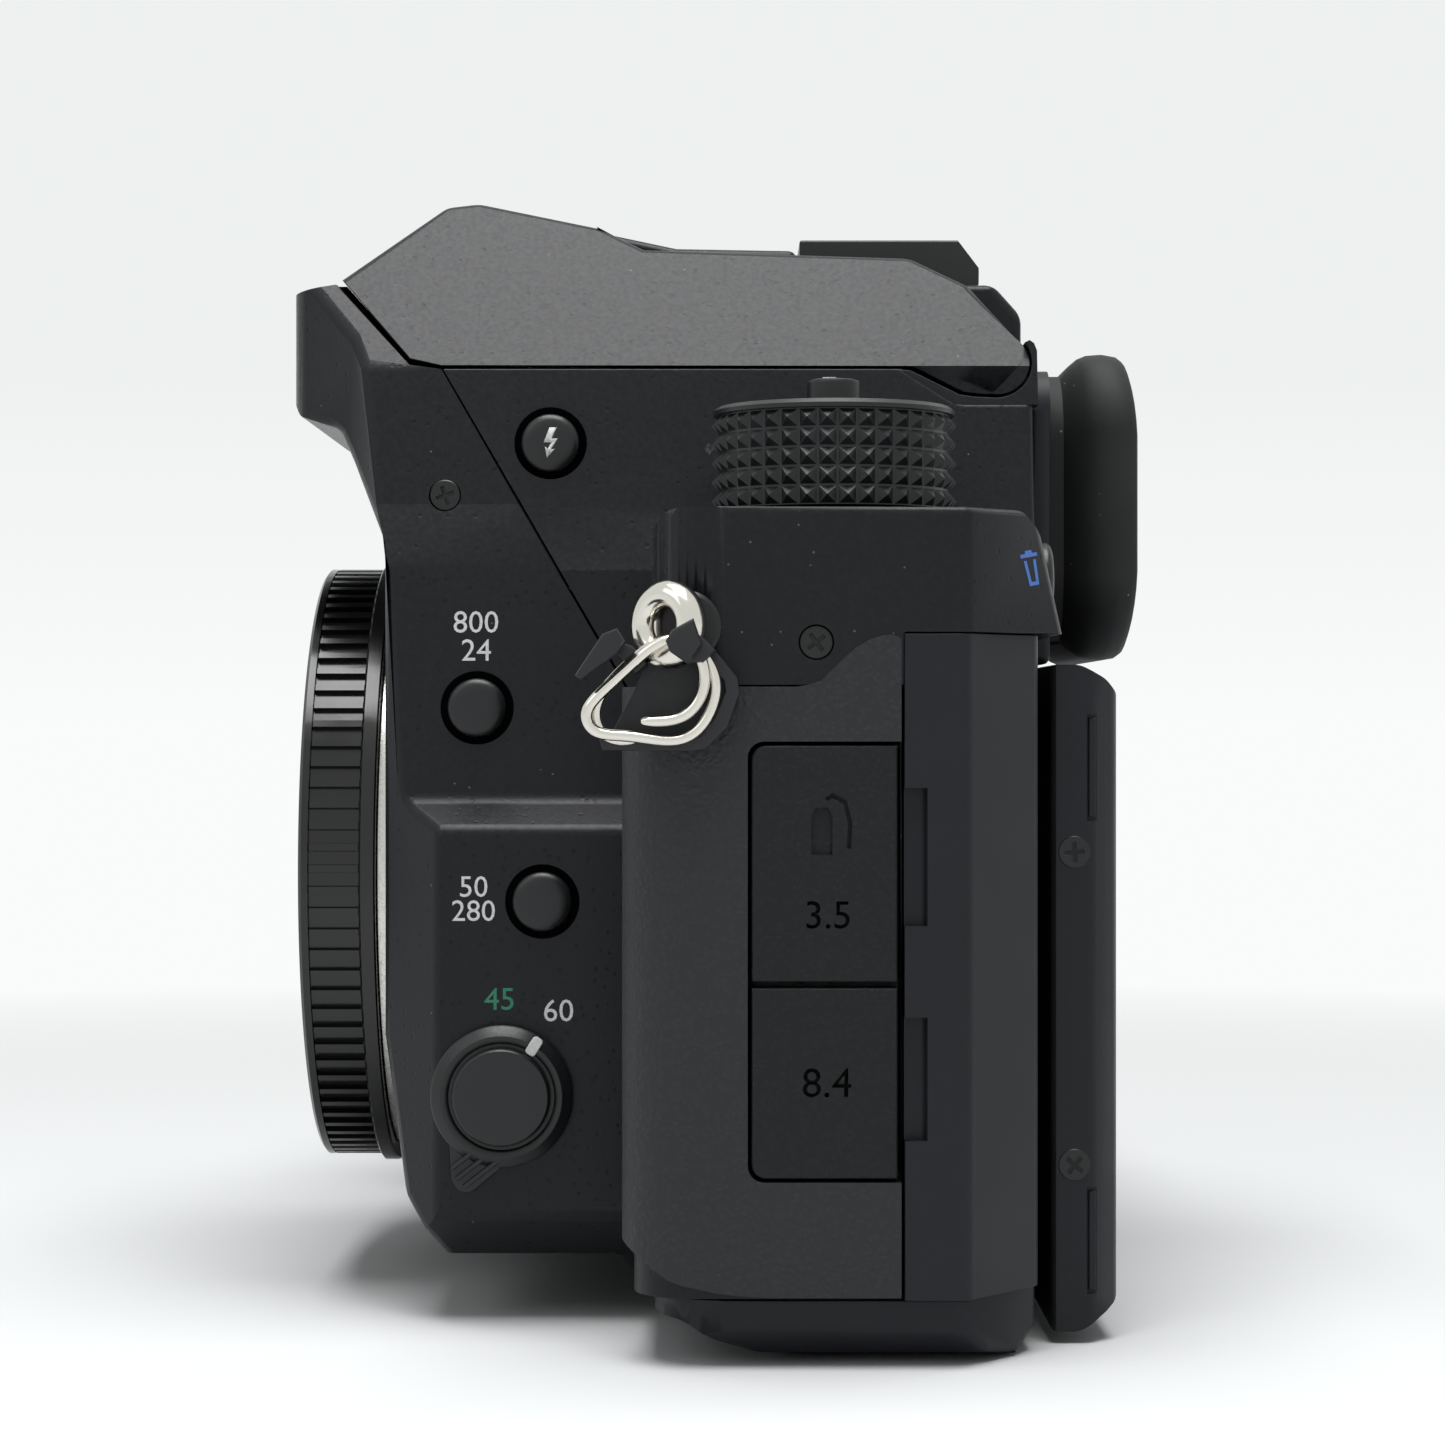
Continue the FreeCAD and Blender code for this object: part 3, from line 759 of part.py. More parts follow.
def make_mirror_box():
    case = block("box_case", ("-box_half", "box_half"), ("mount_rear_y", "box_rear_y"),
                 ("box_low_z", "box_top_z"))
    plate = block("box_plate", ("-box_plate", "box_plate"),
                  ("mount_rear_y", "mount_rear_y + box_plate_thick"),
                  ("lens_z - box_plate", "lens_z + box_plate"))
    room = block("box_room", ("-box_room_half", "box_room_half"),
                 ("mount_rear_y - over", "box_rear_y + over"),
                 ("box_room_low", "box_room_top"))
    light = block("box_light", ("-screen_half + over", "screen_half - over"),
                  ("screen_front_y + over", "screen_rear_y - over"),
                  ("box_room_top - over", "box_top_z + over"))
    bore = rod("box_bore", "box_bore_r", "box_bore_deep + over", "0", "mount_rear_y - over",
               "lens_z", "+y")
    pin = rod("mirror_pin_way", "mirror_pin_r + pin_run", "2 * box_half", "-box_half", "mirror_y",
              "mirror_z", "+x")
    lock = rod("box_lock_way", "lock_pin_r + pin_run", "way_long", "lock_pin_x", "mount_rear_y - over",
               "lens_z", "+y")
    chin = slab("box_chin_way", "YZ_Plane", "-bulge_half", "bulge_half",
                [("front_y - wall", "bulge_toe_z"), ("bulge_toe_y + wall + button_fit", "bulge_toe_z"),
                 ("bulge_toe_y + wall + button_fit", "bulge_toe_z + wall"),
                 ("front_y + wall + button_fit", "bulge_chin_z"), ("front_y - wall", "bulge_chin_z")])
    piece("mirror_box", cut("mirror_box", fuse("box_joined", case, plate), room, light, bore, pin, lock,
                            chin))
    screen = block("focusing_screen", ("-screen_half", "screen_half"),
                   ("screen_front_y", "screen_rear_y"),
                   ("box_top_z + snug_gap", "box_top_z + snug_gap + screen_thick"))
    piece("focusing_screen", screen)
    glass = doc.addObject("Part::Box", "mirror_glass")
    bind(glass, Length="2 * mirror_half", Width="mirror_length", Height="mirror_thick")
    glass.Placement = Placement(Vector(), Rotation(Vector(1, 0, 0), 45))
    bind(glass, Placement__Rotation__Angle="mirror_tilt",
         Placement__Base__x="-mirror_half",
         Placement__Base__y="mirror_y - mirror_length * cos(mirror_tilt)",
         Placement__Base__z="mirror_z - mirror_length * sin(mirror_tilt)")
    pins = rod("mirror_pin", "mirror_pin_r", "2 * (box_room_half + mirror_pin_reach)",
               "-box_room_half - mirror_pin_reach",
               "mirror_y", "mirror_z", "+x")
    piece("main_mirror", fuse("main_mirror", glass, pins))


def make_imaging_parts():
    prism = slab("pentaprism", "YZ_Plane", "-prism_half", "prism_half",
                 [("prism_front_y", "prism_low"), ("prism_rear_y", "prism_low"),
                  ("prism_rear_y", "prism_rear_z"), ("prism_top_y", "prism_top"),
                  ("prism_peak_y", "prism_top"), ("prism_front_y", "prism_nose_z")])
    piece("pentaprism", prism)
    eyepiece = slab("eyepiece_lens", "XZ_Plane", "lens_front_y", "lens_back_y",
                    [("-eye_half + snug_gap", "eye_z - eye_rise + snug_gap"),
                     ("eye_half - snug_gap", "eye_z - eye_rise + snug_gap"),
                     ("eye_half - snug_gap", "eye_z + eye_rise - snug_gap"),
                     ("-eye_half + snug_gap", "eye_z + eye_rise - snug_gap")])
    piece("eyepiece_lens", eyepiece)
    plate = block("shutter_plate", ("-shutter_half", "shutter_half"),
                  ("box_rear_y + snug_gap", "box_rear_y + snug_gap + shutter_thick"),
                  ("shutter_low", "shutter_top"))
    gate = block("shutter_gate", ("-gate_half", "gate_half"),
                 ("box_rear_y - over", "box_rear_y + shutter_thick + over"),
                 ("lens_z - gate_rise", "lens_z + gate_rise"))
    piece("shutter_unit", cut("shutter_unit", plate, gate))
    sensor = block("image_sensor", ("-sensor_half", "sensor_half"),
                   ("box_rear_y + shutter_thick + run_gap",
                    "box_rear_y + shutter_thick + run_gap + sensor_thick"),
                   ("lens_z - sensor_rise", "lens_z + sensor_rise"))
    piece("image_sensor", sensor)
    board = block("main_board", ("board_right", "board_left"),
                  ("box_rear_y + shutter_thick + sensor_thick + 2 * run_gap",
                   "box_rear_y + shutter_thick + sensor_thick + 2 * run_gap + board_thick"),
                  ("board_low", "board_top"))
    piece("main_board", board)


def make_hot_shoe():
    seat = "shoe_seat_z + snug_gap"
    slot_low = "shoe_seat_z + snug_gap + shoe_plate"
    lip_low = "shoe_seat_z + snug_gap + shoe_plate + shoe_slot"
    top = "shoe_seat_z + snug_gap + shoe_plate + shoe_slot + shoe_lip"
    rail = block("shoe_block", ("-shoe_half", "shoe_half"), ("shoe_front_y", "shoe_rear_y"), (seat, top))
    slot = block("shoe_slot_room", ("-shoe_slot_half", "shoe_slot_half"),
                 ("shoe_front_y + shoe_stop", "shoe_rear_y + over"), (slot_low, lip_low))
    mouth = block("shoe_mouth", ("-shoe_lip_half", "shoe_lip_half"),
                  ("shoe_front_y + shoe_stop", "shoe_rear_y + over"), (slot_low, top + " + over"))
    piece("hot_shoe", cut("hot_shoe", rail, slot, mouth))
    foot = block("shoe_cover_foot", ("-shoe_slot_half + shoe_fit", "shoe_slot_half - shoe_fit"),
                 ("shoe_front_y + shoe_stop + shoe_fit", "shoe_rear_y"),
                 (slot_low + " + shoe_fit", lip_low + " - shoe_fit"))
    ridge = block("shoe_cover_ridge", ("-shoe_lip_half + shoe_fit", "shoe_lip_half - shoe_fit"),
                  ("shoe_front_y + shoe_stop + shoe_fit", "shoe_rear_y"),
                  (slot_low + " + shoe_fit", top))
    piece("shoe_cover", fuse("shoe_cover", foot, ridge))


def make_eyecup():
    plate = slab("cup_plate", "XZ_Plane", "cup_front", "cup_mid + over",
                 [("-cup_neck_half", "cup_neck_low"), ("cup_neck_half", "cup_neck_low"),
                  ("cup_neck_half", "cup_neck_top"), ("-cup_neck_half", "cup_neck_top")],
                 {"cup_round - cup_taper": [0, 1, 2, 3]})
    flare = slab("cup_flare", "XZ_Plane", "cup_mid", "cup_rear",
                 [("-cup_half", "cup_low"), ("cup_half", "cup_low"), ("cup_half", "cup_top"),
                  ("-cup_half", "cup_top")], {"cup_round": [0, 1, 2, 3]})
    slot = block("cup_slot", ("-neck_half - run_gap", "neck_half + run_gap"),
                 ("cup_front - over", "cup_mid"),
                 ("cup_low - over", "eye_z + neck_rise + run_gap"))
    hole = slab("cup_hole", "XZ_Plane", "cup_front - over", "cup_rear + over",
                [("-cup_hole_half", "eye_z - cup_hole_rise"), ("cup_hole_half", "eye_z - cup_hole_rise"),
                 ("cup_hole_half", "eye_z + cup_hole_rise"), ("-cup_hole_half", "eye_z + cup_hole_rise")],
                {"cup_round - cup_taper": [0, 1, 2, 3]})
    piece("eyecup", cut("eyecup", fuse("cup_joined", plate, flare), slot, hole))


def make_dials():
    dial = turned("dial_turned", [("lock_r + lock_fit", "dial_low"), ("dial_r - dial_bevel", "dial_low"),
                                  ("dial_r", "dial_low + dial_bevel"),
                                  ("dial_r", "dial_low + dial_height - dial_bevel"),
                                  ("dial_r - dial_bevel", "dial_low + dial_height"),
                                  ("lock_r + lock_fit", "dial_low + dial_height")],
                  "dial_x", "dial_y", "0")
    stem = turned("dial_stem",
                  [("0", "stem_low"), ("dial_stem_r", "stem_low"), ("dial_stem_r", "dial_low + over"),
                   ("lock_r + lock_fit", "dial_low + over"),
                   ("lock_r + lock_fit", "dial_low + lock_pocket_rise"),
                   ("0", "dial_low + lock_pocket_rise")], "dial_x", "dial_y", "0")
    piece("mode_dial", fuse("mode_dial", dial, stem))
    lock_low = "dial_low + lock_stem_rise"
    lock_top = "dial_low + dial_height + lock_rise"
    piece("mode_dial_lock",
          turned("mode_dial_lock", [("0", lock_low), ("lock_r", lock_low),
                                    ("lock_r", lock_top + " - fine_bevel"),
                                    ("lock_r - fine_bevel", lock_top), ("0", lock_top)],
                 "dial_x", "dial_y", "0"))
    for word in ("setting", "function"):
        top = "right_deck_z + run_gap + small_dial_rise"
        radius = f"{word}_r"
        piece(f"{word}_dial", turned(f"{word}_dial",
              [("0", "right_deck_z - 2 * wall"), ("small_stem_r", "right_deck_z - 2 * wall"),
               ("small_stem_r", "right_deck_z + run_gap"),
               (f"{radius} - dial_bevel", "right_deck_z + run_gap"),
               (radius, "right_deck_z + run_gap + dial_bevel"), (radius, f"{top} - dial_bevel"),
               (f"{radius} - dial_bevel", top), ("0", top)], f"{word}_x", f"{word}_y", "0"))
    wheel = turned("front_wheel", [("axle_r + stem_fit", "-front_dial_half"),
                                   ("front_dial_r - key_bevel", "-front_dial_half"),
                                   ("front_dial_r", "-front_dial_half + key_bevel"),
                                   ("front_dial_r", "front_dial_half - key_bevel"),
                                   ("front_dial_r - key_bevel", "front_dial_half"),
                                   ("axle_r + stem_fit", "front_dial_half")],
                   "front_dial_x", "front_dial_y", "front_dial_z", "+x")
    piece("front_dial", wheel)
    piece("dial_axles", group("dial_axles",
          rod("front_axle", "axle_r", "front_axle", "front_dial_x - front_axle / 2",
              "front_dial_y", "front_dial_z", "+x"),
          rod("rear_axle", "axle_r", "right_deck_z - wall - rear_dial_low + 2 * axle_r", "rear_dial_x",
              "rear_dial_y", "rear_dial_low - 2 * axle_r", "+z")))
    piece("rear_dial", turned("rear_dial", [("axle_r + stem_fit", "rear_dial_low"),
                                            ("rear_dial_r - key_bevel", "rear_dial_low"),
                                            ("rear_dial_r", "rear_dial_low + key_bevel"),
                                            ("rear_dial_r", "rear_dial_top - key_bevel"),
                                            ("rear_dial_r - key_bevel", "rear_dial_top"),
                                            ("axle_r + stem_fit", "rear_dial_top")],
                              "rear_dial_x", "rear_dial_y", "0"))


def make_shutter_release():
    piece("shutter_button", turned("shutter_button",
          [("0", "release_low"), ("release_stem_r", "release_low"),
           ("release_stem_r", "switch_low + small_bevel"), ("release_r", "switch_low + small_bevel"),
           ("release_r", "release_top - release_crown"), ("release_r - 2 * release_crown", "release_top"),
           ("0", "release_top")], "release_x", "release_y", "0"))
    ring = turned("switch_ring", [("release_r + run_gap", "switch_low"), ("switch_r", "switch_low"),
                                  ("switch_r", "switch_top - small_bevel"),
                                  ("switch_r - small_bevel", "switch_top"),
                                  ("release_r + run_gap", "switch_top")],
                  "release_x", "release_y", "0")
    tab = block("switch_tab", ("release_x - switch_tab_half", "release_x + switch_tab_half"),
                ("release_y - switch_tab", "release_y - switch_r + over"),
                ("switch_low", "switch_top - small_bevel"))
    piece("power_switch", fuse("power_switch", ring, tab))


def make_side_keys():
    key("flash_button", "button_r", "key_length", "hump_half + flash_key_rise - key_length",
        "flash_key_y",
        "flash_key_z", "+x")
    key("raw_button", "button_r", "key_length", "bulge_waist + raw_key_rise - key_length", "raw_key_y",
        "raw_key_z", "+x")
    key("af_mode_button", "button_r", "key_length", "bulge_half + mode_key_rise - key_length",
        "mode_key_y",
        "mode_key_z", "+x")
    ring = turned("focus_turned",
                  [("0", "bulge_half - focus_stem_deep"),
                   ("focus_stem_r", "bulge_half - focus_stem_deep"),
                   ("focus_stem_r", "bulge_half + snug_gap"), ("focus_r", "bulge_half + snug_gap"),
                   ("focus_r", "bulge_half + focus_ring_rise - focus_slope"),
                   ("focus_disc_r + focus_rim", "bulge_half + focus_ring_rise"),
                   ("focus_disc_r + focus_groove", "bulge_half + focus_ring_rise"),
                   ("focus_disc_r + focus_groove", "bulge_half + focus_ring_rise - focus_groove_deep"),
                   ("focus_disc_r", "bulge_half + focus_ring_rise - focus_groove_deep"),
                   ("focus_disc_r", "bulge_half + focus_disc_rise - small_bevel"),
                   ("focus_disc_r - small_bevel", "bulge_half + focus_disc_rise"),
                   ("0", "bulge_half + focus_disc_rise")],
                  "0", "focus_y", "focus_z", "+x")
    tab = slab("focus_tab", "YZ_Plane", "bulge_half + snug_gap",
               "bulge_half + focus_ring_rise - focus_groove_deep",
               [("-tab_half", "-focus_r + over"), ("-tab_half + over", "-tab_reach"),
                ("tab_half - over", "-tab_reach"),
                ("tab_half", "-focus_r + over")])
    tab.Placement = Placement(Vector(), Rotation(Vector(1, 0, 0), sheet.get("tab_turn")))
    bind(tab, Placement__Base__y="focus_y", Placement__Base__z="focus_z")
    piece("focus_lever", fuse("focus_lever", ring, tab))


def make_lens_release():
    piece("lens_release_button", turned("lens_release_button",
          [("0", "0"), ("unlock_r", "0"), ("unlock_r", "unlock_rear_y - unlock_y - unlock_bevel"),
           ("unlock_r - unlock_bevel", "unlock_rear_y - unlock_y"), ("0", "unlock_rear_y - unlock_y")],
          "unlock_x", "unlock_rear_y", "unlock_z", "-y"))
    piece("lens_lock_pin", rod("lens_lock_pin", "lock_pin_r", "lock_pin_rear_y - lock_pin_y",
                               "lock_pin_x", "lock_pin_rear_y", "lens_z", "-y"))


def make_ports():
    for label, low, high, corner in (("usb_cover", "usb_low + seam_gap", "usb_top", 3),
                                     ("dc_cover", "power_low", "power_top - seam_gap", 0)):
        cover = slab(label, "YZ_Plane", "left_face - cover_thick", "left_face",
                     [("port_front_y", low), ("port_rear_y", low), ("port_rear_y", high),
                      ("port_front_y", high)], {"cover_round": [corner]})
        piece(label, cover)
    usb = block("usb_socket", ("socket_x", "left_face - cover_thick - port_room - run_gap"),
                ("jack_y - usb_half_y", "jack_y + usb_half_y"),
                ("usb_z - usb_half_z", "usb_z + usb_half_z"))
    usb_bore = block("usb_bore", ("socket_x + over", "left_face"),
                     ("jack_y - usb_bore_y", "jack_y + usb_bore_y"),
                     ("usb_z - usb_bore_z", "usb_z + usb_bore_z"))
    reach = "left_face - cover_thick - port_room - run_gap - socket_x"
    mic = cut("mic_socket", rod("mic_barrel", "mic_r", reach, "socket_x", "jack_y", "mic_z", "+x"),
              rod("mic_bore", "jack_bore", reach, "socket_x + over", "jack_y", "mic_z", "+x"))
    power = cut("power_socket",
                rod("power_barrel", "power_r", reach, "socket_x", "jack_y", "power_z", "+x"),
                rod("power_bore", "jack_bore", reach, "socket_x + over", "jack_y", "power_z", "+x"))
    piece("port_sockets", group("port_sockets", cut("usb_socket_cut", usb, usb_bore), mic, power))


def rounded_path(points, radius):
    """A wire's middle line: straight runs joined by tangent arcs."""
    edges = []
    start = points[0]
    for before, corner, after in zip(points, points[1:], points[2:]):
        inward = (before - corner).normalize()
        outward = (after - corner).normalize()
        half_turn = (math.pi - inward.getAngle(outward)) / 2
        leg = radius * math.tan(half_turn)
        first = corner + inward * leg
        last = corner + outward * leg
        bisector = (inward + outward).normalize()
        middle = corner + bisector * (radius / math.cos(half_turn) - radius)
        edges.append(Part.LineSegment(start, first).toShape())
        edges.append(Part.Arc(first, middle, last).toShape())
        start = last
    edges.append(Part.LineSegment(start, points[-1]).toShape())
    return Part.Wire(edges)


def split_ring():
    """The triangular strap ring: near two turns of one wire that hang from the lug."""
    size = {word: sheet.get(word) for word in sizes}
    y = size["lug_y"]
    z = size["lug_z"]
    inner = size["lug_x"] - size["turn_pitch"] / 2
    outer = size["lug_x"] + size["turn_pitch"] / 2
    low = z - size["ring_low"]
    front = y - size["ring_front"]
    rear = y + size["ring_rear"]
    crest_front = y - size["ring_crest"]
    crest_rear = y + size["ring_crest"] + size["wire_r"]
    toe = front + size["ring_toe"]
    toe_z = low + size["ring_toe"]
    heel = rear - size["ring_heel"]
    heel_z = low + size["ring_heel"] + size["wire_r"]
    points = [Vector(inner, crest_rear - 1, z), Vector(inner, crest_front, z),
              Vector(inner, front, toe_z),
              Vector(inner, toe, low), Vector(inner, heel, low), Vector(inner, rear, heel_z),
              Vector(outer, crest_rear, z), Vector(outer, crest_front, z), Vector(outer, front, toe_z),
              Vector(outer, toe, low), Vector(outer, heel - 1, low)]
    path = rounded_path(points, size["ring_bend"])
    middle = path.discretize(Distance=size["wire_r"])
    apart = round(8 * size["ring_bend"] / size["wire_r"])
    least = min(first.distanceToPoint(other) for place_on, first in enumerate(middle)
                for other in middle[place_on + apart:])
    print("strap ring: least gap between its turns", round(least - 2 * size["wire_r"], 2))
    direction = path.Edges[0].tangentAt(path.Edges[0].FirstParameter)
    disc = Part.Wire([Part.makeCircle(size["wire_r"], points[0], direction)])
    ring = doc.addObject("Part::Feature", "ring_wire")
    ring.Shape = path.makePipeShell([disc], True, False)
    return ring


def make_strap_gear():
    turn = math.radians(sheet.get("lug_turn"))
    eye = doc.addObject("Part::Torus", "left_lug_eye")
    bind(eye, Radius1="lug_ring_r", Radius2="lug_wire_r")
    eye.Placement = Placement(Vector(),
                              Rotation(Vector(0, 0, 1), Vector(math.sin(turn), math.cos(turn), 0)))
    bind(eye, Placement__Base__x="lug_x", Placement__Base__y="lug_y", Placement__Base__z="lug_z")
    post_y = "lug_y + lug_ring_r * sin(lug_turn)"
    post = rod("left_lug_post", "lug_post_r", "lug_post", "lug_x - lug_ring_r * cos(lug_turn) - lug_post",
               post_y, "lug_z", "+x")
    left_lug = fuse("left_lug", eye, post)
    left_ring = split_ring()
    back = slab("guard_back", "YZ_Plane", "left_face + run_gap", "left_face + run_gap + guard_thick",
                [("lug_y - guard_front", "lug_z - guard_leaf_low"),
                 ("lug_y - guard_leaf", "lug_z - leaf_tip"),
                 ("lug_y - guard_root", "lug_z - guard_neck"),
                 ("lug_y - guard_neck", "lug_z - guard_neck"),
                 ("lug_y + guard_rear", "lug_z - guard_neck"),
                 ("lug_y + guard_rear", "lug_z - guard_low"),
                 ("lug_y - guard_front + guard_toe", "lug_z - guard_low")], {"guard_round": [5, 6]})
    leaf = slab("guard_leaf", "YZ_Plane", "left_face + run_gap", "lug_x + wire_r + turn_pitch",
                [("lug_y - guard_front", "lug_z - guard_leaf_low"),
                 ("lug_y - guard_leaf", "lug_z - leaf_tip"),
                 ("lug_y - guard_leaf + leaf_side", "lug_z - leaf_side_low"),
                 ("lug_y - guard_front + leaf_foot", "lug_z - guard_leaf_low - leaf_foot")])
    outer = "lug_x + lug_ring_r + lug_wire_r + run_gap"
    bridge = block("guard_bridge", ("left_face + run_gap", outer + " + guard_thick"),
                   ("lug_y + guard_rear - bridge_thick", "lug_y + guard_rear"),
                   ("lug_z - guard_neck - bridge_low", "lug_z - bridge_top"))
    flap_corners = [("lug_y + guard_rear", "lug_z + flap_root_z")]
    flap_corners += [(f"lug_y + guard_rear - flap_{word}_y", f"lug_z + flap_{word}_z")
                     for word in ("peak", "brow", "nose", "chin", "heel")]
    flap = slab("guard_flap", "YZ_Plane", outer, outer + " + guard_thick", flap_corners)
    left_guard = fuse("left_guard", back, leaf, bridge, flap)
    right = []
    for word, source in (("lug", left_lug), ("ring", left_ring), ("guard", left_guard)):
        twin = doc.addObject("Part::Mirroring", f"right_{word}")
        twin.Source = source
        twin.Normal = Vector(1, 0, 0)
        bind(twin, Base__x="(left_face + right_face) / 2")
        right.append(twin)
    piece("strap_lugs", group("strap_lugs", left_lug, right[0]))
    piece("left_strap_ring", group("left_strap_ring", left_ring))
    piece("right_strap_ring", right[1])
    piece("left_strap_guard", left_guard)
    piece("right_strap_guard", right[2])


def make_small_hardware():
    pins = [rod(f"hinge_pin_{word}", "pin_r - press_gap", "pin_to - pin_from", x, "hinge_y", "hinge_z",
                towards)
            for word, x, towards in (("left", "pin_from", "+x"), ("right", "-pin_from", "-x"))]
    piece("flash_hinge_pins", group("flash_hinge_pins", *pins))
    piece("tripod_socket", turned("tripod_socket",
          [("socket_thread_r", "0"), ("socket_r", "0"), ("socket_r", "socket_top - socket_flange"),
           ("socket_flange_r", "socket_top - socket_flange"), ("socket_flange_r", "socket_top"),
           ("0", "socket_top"), ("0", "socket_depth"), ("socket_thread_r", "socket_depth")],
          "0", "0", "0"))
    spots = [("hump_half - screw_sink", "prism_screw_y", "prism_screw_z", "-x", "screw_deep"),
             ("left_face - screw_sink", "deck_screw_y", "deck_screw_z", "-x", "screw_deep")]
    spots += [(x, y, "screw_sink", "+z", "base_screw_deep") for x, y in base_screw_spots]
    spots += [(x, y, "tongue_low + screw_sink", "+z", "tongue_screw_deep")
              for x, y in tongue_screw_spots]
    screws = []
    for number, (x, y, z, towards, deep) in enumerate(spots):
        shank = rod(f"screw_{number}", "screw_r", deep, x, y, z, towards)
        first = block(f"screw_bar_{number}", ("-screw_bar", "screw_bar"),
                      ("-screw_slot / 2", "screw_slot / 2"), ("0", "screw_slot_deep"))
        second = block(f"screw_cross_{number}", ("-screw_slot / 2", "screw_slot / 2"),
                       ("-screw_bar", "screw_bar"), ("0", "screw_slot_deep"))
        cross = fuse(f"screw_driver_{number}", first, second)
        place(cross, x, y, z, towards)
        screws.append(cut(f"screw_cut_{number}", shank, cross))
    piece("casing_screws", group("casing_screws", *screws))


def make_monitor():
    barrel_low = rod("arm_barrel_low", "arm_pin_r", "arm_left - arm_right", "arm_right", "arm_y",
                     "arm_low",
                     "+x")
    barrel_high = rod("arm_barrel_high", "arm_pin_r", "arm_left - arm_right", "arm_right", "arm_y",
                      "arm_high", "+x")
    stubs = [rod(f"arm_stub_{word}", "stub_r", "arm_left - arm_right + 2 * arm_pin",
                 "arm_right - arm_pin",
                 "arm_y", height, "+x") for word, height in (("low", "arm_low"), ("high", "arm_high"))]
    sheet_metal = block("arm_sheet_metal", ("arm_right", "arm_left"),
                        ("arm_y - arm_sheet / 2", "arm_y + arm_sheet / 2"), ("arm_low", "arm_high"))
    window = block("arm_window", ("arm_window_right", "arm_window_left"),
                   ("arm_y - over", "arm_y + over"),
                   ("arm_window_low", "arm_window_high"))
    piece("monitor_arm",
          cut("monitor_arm", fuse("arm_joined", sheet_metal, barrel_low, barrel_high, *stubs),
                             window))
    side = slab("monitor_side", "YZ_Plane", "monitor_right", "monitor_left",
                [("monitor_front", "monitor_low"),
                 ("monitor_rear - monitor_edge - monitor_brow", "monitor_low"),
                 ("monitor_rear - monitor_brow", "monitor_low + monitor_lip"),
                 ("monitor_rear", "monitor_low + monitor_edge"),
                 ("monitor_rear", "monitor_top - monitor_edge"),
                 ("monitor_rear - monitor_brow", "monitor_top - monitor_lip_top"),
                 ("monitor_rear - monitor_edge - monitor_brow", "monitor_top"),
                 ("monitor_front", "monitor_top")])
    plan = slab("monitor_plan", "XY_Plane", "0", "rear_top",
                [("monitor_right", "monitor_front"), ("monitor_left", "monitor_front"),
                 ("monitor_left", "monitor_rear - monitor_edge"),
                 ("monitor_left - monitor_edge", "monitor_rear"),
                 ("monitor_right + monitor_edge", "monitor_rear"),
                 ("monitor_right", "monitor_rear - monitor_edge")])
    ears = [block(f"monitor_ear_{word}", (low, f"{low} + ear_thick"),
                  ("arm_y - arm_pin_r", "monitor_front + over"),
                  ("arm_high - ear_rise", "arm_high + ear_rise"))
            for word,
            low in (("left", "arm_left + run_gap"), ("right", "arm_right - run_gap - ear_thick"))]
    ear_way = rod("monitor_ear_way", "stub_r + stub_fit", "arm_left - arm_right + 4 * ear_thick",
                  "arm_right - 2 * ear_thick", "arm_y", "arm_high", "+x")
    pane_room = block("pane_room", ("glass_right - snug_gap", "glass_left + snug_gap"),
                      ("monitor_rear - glass_thick - snug_gap", "monitor_rear + over"),
                      ("glass_low - snug_gap", "glass_top + snug_gap"))
    slots = [block(f"monitor_slot_{number}", ("monitor_left - slot_deep", "monitor_left + over"),
                   ("monitor_rear - slot_rear - slot_wide", "monitor_rear - slot_rear"),
                   (low, f"{low} + slot_long"))
             for number, low in enumerate(("monitor_low + slot_low",
                                           "monitor_top - slot_top - slot_long"))]
    piece("monitor_housing",
          cut("monitor_housing", fuse("monitor_joined", meet("monitor_body", side, plan),
                                                         *ears), pane_room, ear_way, *slots))
    piece("monitor_glass", block("monitor_glass", ("glass_right", "glass_left"),
                                 ("monitor_rear - glass_thick", "monitor_rear"),
                                 ("glass_low", "glass_top")))


def make_back_keys():
    start = "back_y - wall - key_root"
    for label, word in (("live_view_button", "live"), ("lock_button", "hold"),
                        ("playback_button", "play"), ("menu_button", "menu")):
        key(label, "key_small_r", "wall + key_root + key_rise", f"{word}_x", start, f"{word}_z", "+y",
            "fine_bevel")
    ring = turned("pad_ring", [("pad_ring_in", "wall"), ("pad_ring_r", "wall"),
                               ("pad_ring_r", "wall + fine_bevel + key_rise"),
                               ("pad_ring_r - fine_bevel", "wall + key_root + key_rise"),
                               ("pad_ring_in", "wall + key_root + key_rise")],
                  "pad_x", start, "pad_z", "+y")
    disc = turned("pad_disc", [("0", "0"), ("pad_ring_in", "0"), ("pad_ring_in", "wall + over"),
                               ("pad_disc_r", "wall + over"),
                               ("pad_disc_r", "wall + small_bevel + key_rise"),
                               ("0", "wall + small_bevel + key_rise")],
                  "pad_x", start, "pad_z", "+y")
    piece("four_way_pad", fuse("four_way_pad", ring, disc))
    key("delete_button", "trash_r", "trash_face_y - trash_rear_y", "trash_x", "trash_rear_y", "trash_z",
        "+y")
    face = "diopter_front_y - diopter_pin_y"
    top = "diopter_rear_y - diopter_pin_y"
    piece("diopter_knob", turned("diopter_knob",
          [("0", "0"), ("pin_r", "0"), ("pin_r", face), ("diopter_r", face),
           ("diopter_r", f"{top} - small_bevel"), ("diopter_r - small_bevel", top), ("0", top)],
          "diopter_x", "diopter_pin_y", "diopter_z", "+y"))


